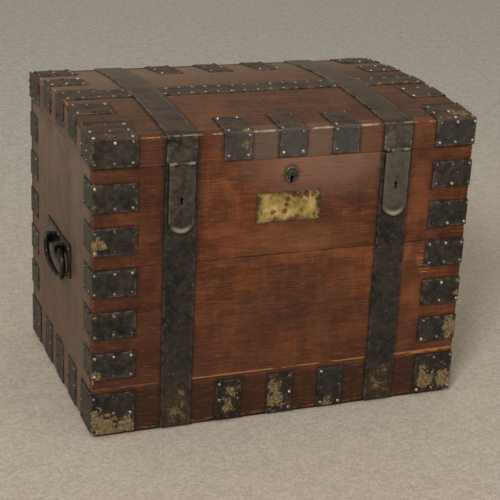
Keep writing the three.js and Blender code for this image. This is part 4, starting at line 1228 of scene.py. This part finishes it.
def lid_corner(node, side, face, section, foot):
    """Plate over a corner of the lid: one sheet over the long edge, and a leg down the end."""
    name = f"{node}_iron" if face > 0 else node.replace("plate", "back_plate")
    across = sorted((side * (IRON_X - CORNER_LEG), side * IRON_X))
    columns = [side * (IRON_X - s) for s in FRONT_NAILS]
    replaced = node if face > 0 else None
    plate(f"{name}_top", "lid", section, along_front(face), CORNER_NAILS, across, columns, replaced)
    across = sorted((-face * IRON_Y, -face * (IRON_Y - CORNER_LEG)))
    columns = [-face * (IRON_Y - s) for s in CORNER_LEG_COLUMNS]
    leg = bent_line([(IRON_X, foot), (IRON_X, CREST + SHEET)])
    plate(f"{name}_end", "lid", leg, along_end(side, foot), CORNER_LEG_ROWS, across, columns)


def end_section(reach, foot):
    """Outer line of iron bent over an end of the lid, from the top down to its foot."""
    top = CREST + SHEET + SKIN_GAP
    return bent_line([(IRON_X - reach, top), (IRON_X, top), (IRON_X, foot)], [SHEET_BEND], turn=-1)


def make_end_plates():
    crest = (CREST_LOW.y, CREST_HIGH.y)
    crest_columns = (CREST_LOW.y + CREST_NAIL_INSET, CREST_HIGH.y - CREST_NAIL_INSET)
    for side_name, side in SIDES:
        foot = LID_EDGE - LID_END_DROP
        section = end_section(LID_END_REACH, foot)
        for end_name, end in ENDS:
            name = f"lid_{side_name}_end_plate_{end_name}"
            wide = band(end * END_PITCH, END_WIDTH)
            plate(name, "lid", section, along_end(side, foot), LID_END_NAILS, *wide)
        node = f"crest_strip_{side_name}"
        reach = IRON_X - min(abs(corner.x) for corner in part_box(node))
        foot = LID_EDGE - CREST_DROP
        count = round(reach / CREST_NAIL_PITCH)
        rows = [CREST_NAIL_INSET - reach + CREST_NAIL_PITCH * i for i in range(count)] + CREST_END_NAILS
        section = end_section(reach, foot)
        plate(f"{node}_iron", "lid", section, along_end(side, foot), rows, crest, crest_columns, node)
    half = CREST_HIGH.x
    top = CREST + SHEET + SKIN_GAP
    section = bent_line([(-half, top), (half, top)], turn=-1)
    count = round(2 * half / CREST_NAIL_PITCH)
    spread = 2 * (half - CREST_NAIL_INSET)
    rows = [CREST_NAIL_INSET + spread * i / count for i in range(count + 1)]
    node = "crest_strip_centre"
    locate = plate(f"{node}_iron", "lid", section, along_end(1), rows, crest, crest_columns[:1], node)
    drive("lid", locate, [(a + b) / 2 for a, b in zip(rows, rows[1:])], crest_columns[1:])


# Straps and hinges
def knuckle(body, barrel, x, at, material):
    """One rolled knuckle of a hinge, its edges eased, between two places along X."""
    radius, bore = barrel
    (left, right), ease = x, KNUCKLE_EASE
    profile = [(left, radius - ease), (left + ease, radius), (right - ease, radius), (right, radius - ease),
               (right, bore), (left, bore)]
    verts = []
    for k in range(BARREL_SIDES):
        angle = 2 * math.pi * k / BARREL_SIDES
        verts += [(px, at.y + r * math.cos(angle), at.z + r * math.sin(angle)) for px, r in profile]
    faces = tube_faces(BARREL_SIDES, len(profile), closed=True)
    # The whole knuckle takes the edge colour: worn bright with a painted highlight.
    mesh = closed_mesh("knuckle", verts, faces, {"rim": [1.0] * len(verts)})
    return settle("knuckle", body, mesh, material, IRON_ANGLE)


def knuckles(body, place, width, count, first, barrel, at, material):
    """Every other knuckle of a hinge, for one of its leaves."""
    zone = width / count
    places = [place - width / 2 + (index + 0.5) * zone for index in range(first, count, 2)]
    return [knuckle(body, barrel, span(x, zone - KNUCKLE_GAP), at, material) for x in places]


def make_straps():
    points = [(-STRAP_Y, RIM), (-STRAP_Y, STRAP_FOOT), (STRAP_Y, STRAP_FOOT), (STRAP_Y, LID_HINGE.z)]
    body_line = bent_line(points, [SHEET_BEND, SHEET_BEND], STRAP_STEP)
    lid_line = lid_section(STRAP_Y, SKIN_GAP + STRAP_THICKNESS, HASP_HINGE.z, None, LID_HINGE.z)
    front = (-STRAP_Y - OVERRUN, -OAK_Y + OVERRUN)
    for side_name, side in SIDES:
        x = side * STRAP_X
        node = f"body_strap_{side_name}"
        across = span(x, BODY_STRAP_WIDTH)
        patches = PATCHES[node]
        leaf, _ = sheet("leaf", "box", body_line, across, along_front(), STRAP_THICKNESS, STRAP_IRON, patches)
        left, right = span(x, STAPLE_SLOT)
        slot = box_cutter((left, front[0], SLOT_FOOT), (right, front[1], RIM + OVERRUN))
        carve(leaf, slot, prism(keyhole(x, HASP_KEY), *front))
        parts = knuckles("box", x, LID_STRAP_WIDTH, 5, 0, HINGE_BARREL, LID_HINGE, STRAP_IRON)
        join_meshes(f"{node}_iron", "box", [leaf] + parts, STRAP_IRON, node)
        node = f"lid_strap_{side_name}"
        across = span(x, LID_STRAP_WIDTH)
        leaf, _ = sheet("leaf", "lid", lid_line, across, along_front(), STRAP_THICKNESS, LID_IRON)
        parts = knuckles("lid", x, LID_STRAP_WIDTH, 5, 1, HINGE_BARREL, LID_HINGE, LID_IRON)
        parts += knuckles("lid", x, HASP_WIDTH, 3, 0, HASP_BARREL, HASP_HINGE, LID_IRON)
        join_meshes(f"{node}_iron", "lid", [leaf] + parts, LID_IRON, node)
        dress(f"hinge_pin_{side_name}", STRAP_IRON)
        dress(f"hasp_pin_{side_name}", HASP_IRON)
        dress(f"hasp_{side_name}", HASP_IRON)


# Handles
def smooth_line(points, steps):
    """Points evenly placed along a smooth line through the given ones."""
    dense = []
    for p0, p1, p2, p3 in zip(points[:1] + points, points, points[1:], points[2:] + points[-1:]):
        for t in [k / CURVE_STEPS for k in range(CURVE_STEPS)]:
            square = (2 * p0 - 5 * p1 + 4 * p2 - p3) * t * t
            cube = (3 * p1 - p0 - 3 * p2 + p3) * t ** 3
            dense.append(0.5 * (2 * p1 + (p2 - p0) * t + square + cube))
    dense.append(points[-1])
    lengths = [0.0]
    for a, b in zip(dense, dense[1:]):
        lengths.append(lengths[-1] + (b - a).length)
    placed, k = [], 0
    for step in range(steps + 1):
        target = lengths[-1] * step / steps
        while k < len(lengths) - 2 and lengths[k + 1] < target:
            k += 1
        share = (target - lengths[k]) / max(lengths[k + 1] - lengths[k], 1e-9)
        placed.append(dense[k].lerp(dense[k + 1], share))
    return placed


def bail(side_name):
    """The drop handle, a round bar that narrows to its two tails."""
    half = [(BAIL_TAIL, 0.0), (BAIL_LUG, 0.0)] + [(a * BAIL_HALF, -d * BAIL_DROP) for a, d in BAIL_SHARES]
    path = [(-y, z) for y, z in half] + [(y, z) for y, z in reversed(half[:-1])]
    points = smooth_line([Vector((0, y, z)) for y, z in path], BAIL_STEPS)
    rings = len(points)
    origin = pivot(f"bail_{side_name}_pivot")
    across = Vector((1, 0, 0))
    even, wavy = BAIL_BAR_SHARES
    verts = []
    for i, point in enumerate(points):
        along = (points[min(i + 1, rings - 1)] - points[max(i - 1, 0)]).normalized()
        tip = BAIL_TIP_SHARE if i in (0, rings - 1) else 1.0
        radius = BAIL_RADIUS * (even + wavy * noise.noise(point * BAIL_WAVES)) * tip
        verts += circle(origin + point, across, across.cross(along), radius, BAIL_SIDES)
    caps = [list(range(BAIL_SIDES)), [(rings - 1) * BAIL_SIDES + k for k in range(BAIL_SIDES)]]
    node = f"handle_bail_{side_name}"
    mesh = closed_mesh(node, verts, tube_faces(rings, BAIL_SIDES) + caps)
    settle(f"{node}_iron", f"bail_{side_name}", mesh, HANDLE_IRON, node=node)


def make_handles():
    inset_y, inset_z = HANDLE_NAIL_INSET
    for side_name, side in SIDES:
        node = f"handle_plate_{side_name}"
        dress(node, HANDLE_IRON)
        bail(side_name)
        low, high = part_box(node)
        face = side * (OAK_X + SKIN_GAP + HANDLE_NAIL_RISE)
        for y, z in product((low.y + inset_y, 0.0, high.y - inset_y), (low.z + inset_z, high.z - inset_z)):
            nails["box"].append((Vector((face, y, z)), Vector((side, 0, 0))))


# Nameplate, escutcheon, locks and the boards of the floor
def make_furniture():
    low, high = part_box("nameplate")
    line = bent_line([(low.y, low.z), (low.y, high.z)], turn=-1)
    thickness = NAMEPLATE_THICKNESS - SKIN_GAP
    across = (low.x, high.x)
    name = "nameplate_brass"
    _, locate = sheet(name, "box", line, across, along_front(), thickness, BRASS, node="nameplate")
    heights = (PIN_INSET, high.z - low.z - PIN_INSET)
    nails["plate"] += [locate(s, t) for s in heights for t in (low.x + PIN_INSET, high.x - PIN_INSET)]
    dress("escutcheon", KEY_IRON)
    dress("main_lock_case", STRAP_IRON)
    dress("main_lock_bolt", STRAP_IRON)
    dress("link_plate", BRASS)
    for side_name, _ in SIDES:
        dress(f"hasp_lock_case_{side_name}", STRAP_IRON)
        dress(f"hasp_lock_bolt_{side_name}", STRAP_IRON)
    dress("base_board", oak("base_oak", "x", 5.1, BASE_OAK, slot="oak_inside"))
    floor = oak("floor_oak", "x", 18.3, TOP_OAK, slot="oak_inside")
    board("floor_board", "box", *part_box("floor_board"), floor)


# Nails
def make_nails():
    """All heads that ride on a body, as one piece; those on the crest are flattened to stay in the box, and
    get a painted highlight in place of the one their domes would catch.
    """
    *rings, (_, crown) = NAIL_PROFILE_SHARES
    for kind, placed in nails.items():
        verts, faces, shine = [], [], []
        for point, out in placed:
            tilt = Vector([rng.uniform(-1, 1) for _ in range(3)]) * NAIL_LEAN
            axis = (out + tilt).normalized()
            across = axis.orthogonal().normalized()
            up = axis.cross(across)
            radius = NAIL_RADIUS * rng.uniform(*NAIL_SIZE_SHARES) * (PIN_SHARE if kind == "plate" else 1.0)
            room = (cad_box[1][Z] - point.z) / (crown * radius)
            flat = min(1.0, room) if out.z > 0.9 else 1.0
            if flat < 1.0:
                axis = out
            start = len(verts)
            for share, rise in rings:
                verts += circle(point + axis * (rise * radius * flat), across, up, share * radius, NAIL_SIDES)
            last = len(verts) - NAIL_SIDES
            verts.append(point + axis * (crown * radius * flat))
            faces += tube_faces(len(rings), NAIL_SIDES, start)
            faces += [[last + k, last + (k + 1) % NAIL_SIDES, len(verts) - 1] for k in range(NAIL_SIDES)]
            faces.append([start + k for k in range(NAIL_SIDES)])
            rubbed = rng.random() ** RUB_POWER * (END_RUB_SHARE if abs(out.x) > 0.5 else 1.0)
            # Flattened crest nails are painted brighter: a painted highlight.
            if flat < 1.0:
                rubbed = 1 + (rubbed - 1) * CREST_DULL_SHARE
            shine += [rubbed] * (len(verts) - start)
        name = f"{kind}_nails"
        mesh = closed_mesh(name, verts, faces, {"shine": shine})
        settle(name, "box" if kind == "plate" else kind, mesh, NAIL_IRON, NAIL_ANGLE)


make_boards()
make_edge_plates()
make_bottom_plates()
make_lid_plates()
make_end_plates()
make_straps()
make_handles()
make_furniture()
make_nails()


# Stage, light and camera
def make_floor():
    s = Shader("floor")
    speckle = s.total((s.noise(0.0045, 2.0), 1.2), (s.noise(0.012, 2.0), 0.8), (s.noise(0.04, 2.0), 0.4))
    s.colour = s.ramp(speckle, (0.3, 0.7), ((182, 171, 153), (208, 198, 180)))
    distant = s.ramp(speckle, (0.3, 0.7), ((166, 161, 152), (206, 201, 191)))
    s.over(s.ease(s.y, 0.3, 2.2), distant)
    h = FLOOR_HALF
    mesh = bpy.data.meshes.new("floor")
    mesh.from_pydata([(-h, -h, 0), (h, -h, 0), (h, h, 0), (-h, h, 0)], [], [[0, 1, 2, 3]])
    mesh.materials.append(s.done(0.95, specular=0.1))
    link("floor", mesh)


def make_light():
    """Two soft lamps, and a sky that is brighter overhead."""
    for name, place, size, power in LAMPS:
        data = bpy.data.lights.new(name, "AREA")
        data.shape = "SQUARE"
        data.size = size
        data.energy = power
        lamp = link(name, data)
        lamp.location = place
        lamp.rotation_euler = (LIGHT_TARGET - Vector(place)).to_track_quat("-Z", "Y").to_euler()
    world = bpy.data.worlds.new("studio")
    bpy.context.scene.world = world
    world.use_nodes = True
    tree = world.node_tree
    place = add_node(tree, "ShaderNodeTexCoord").outputs["Generated"]
    height = add_node(tree, "ShaderNodeSeparateXYZ", place).outputs["Z"]
    shade = add_node(tree, "ShaderNodeMapRange", height, *SKY_HEIGHTS, *SKY_STRENGTHS)
    fill(tree.nodes["Background"], {"Strength": shade.outputs["Result"], "Color": srgb(*SKY)})


def make_camera():
    data = bpy.data.cameras.new("camera")
    data.lens = LENS
    data.sensor_width = SENSOR
    camera = link("camera", data)
    camera.location = CAMERA_PLACE
    camera.rotation_euler = [math.radians(angle) for angle in CAMERA_TURN]
    bpy.context.scene.camera = camera


make_floor()
make_light()
make_camera()
bpy.context.scene.view_settings.view_transform = "Standard"
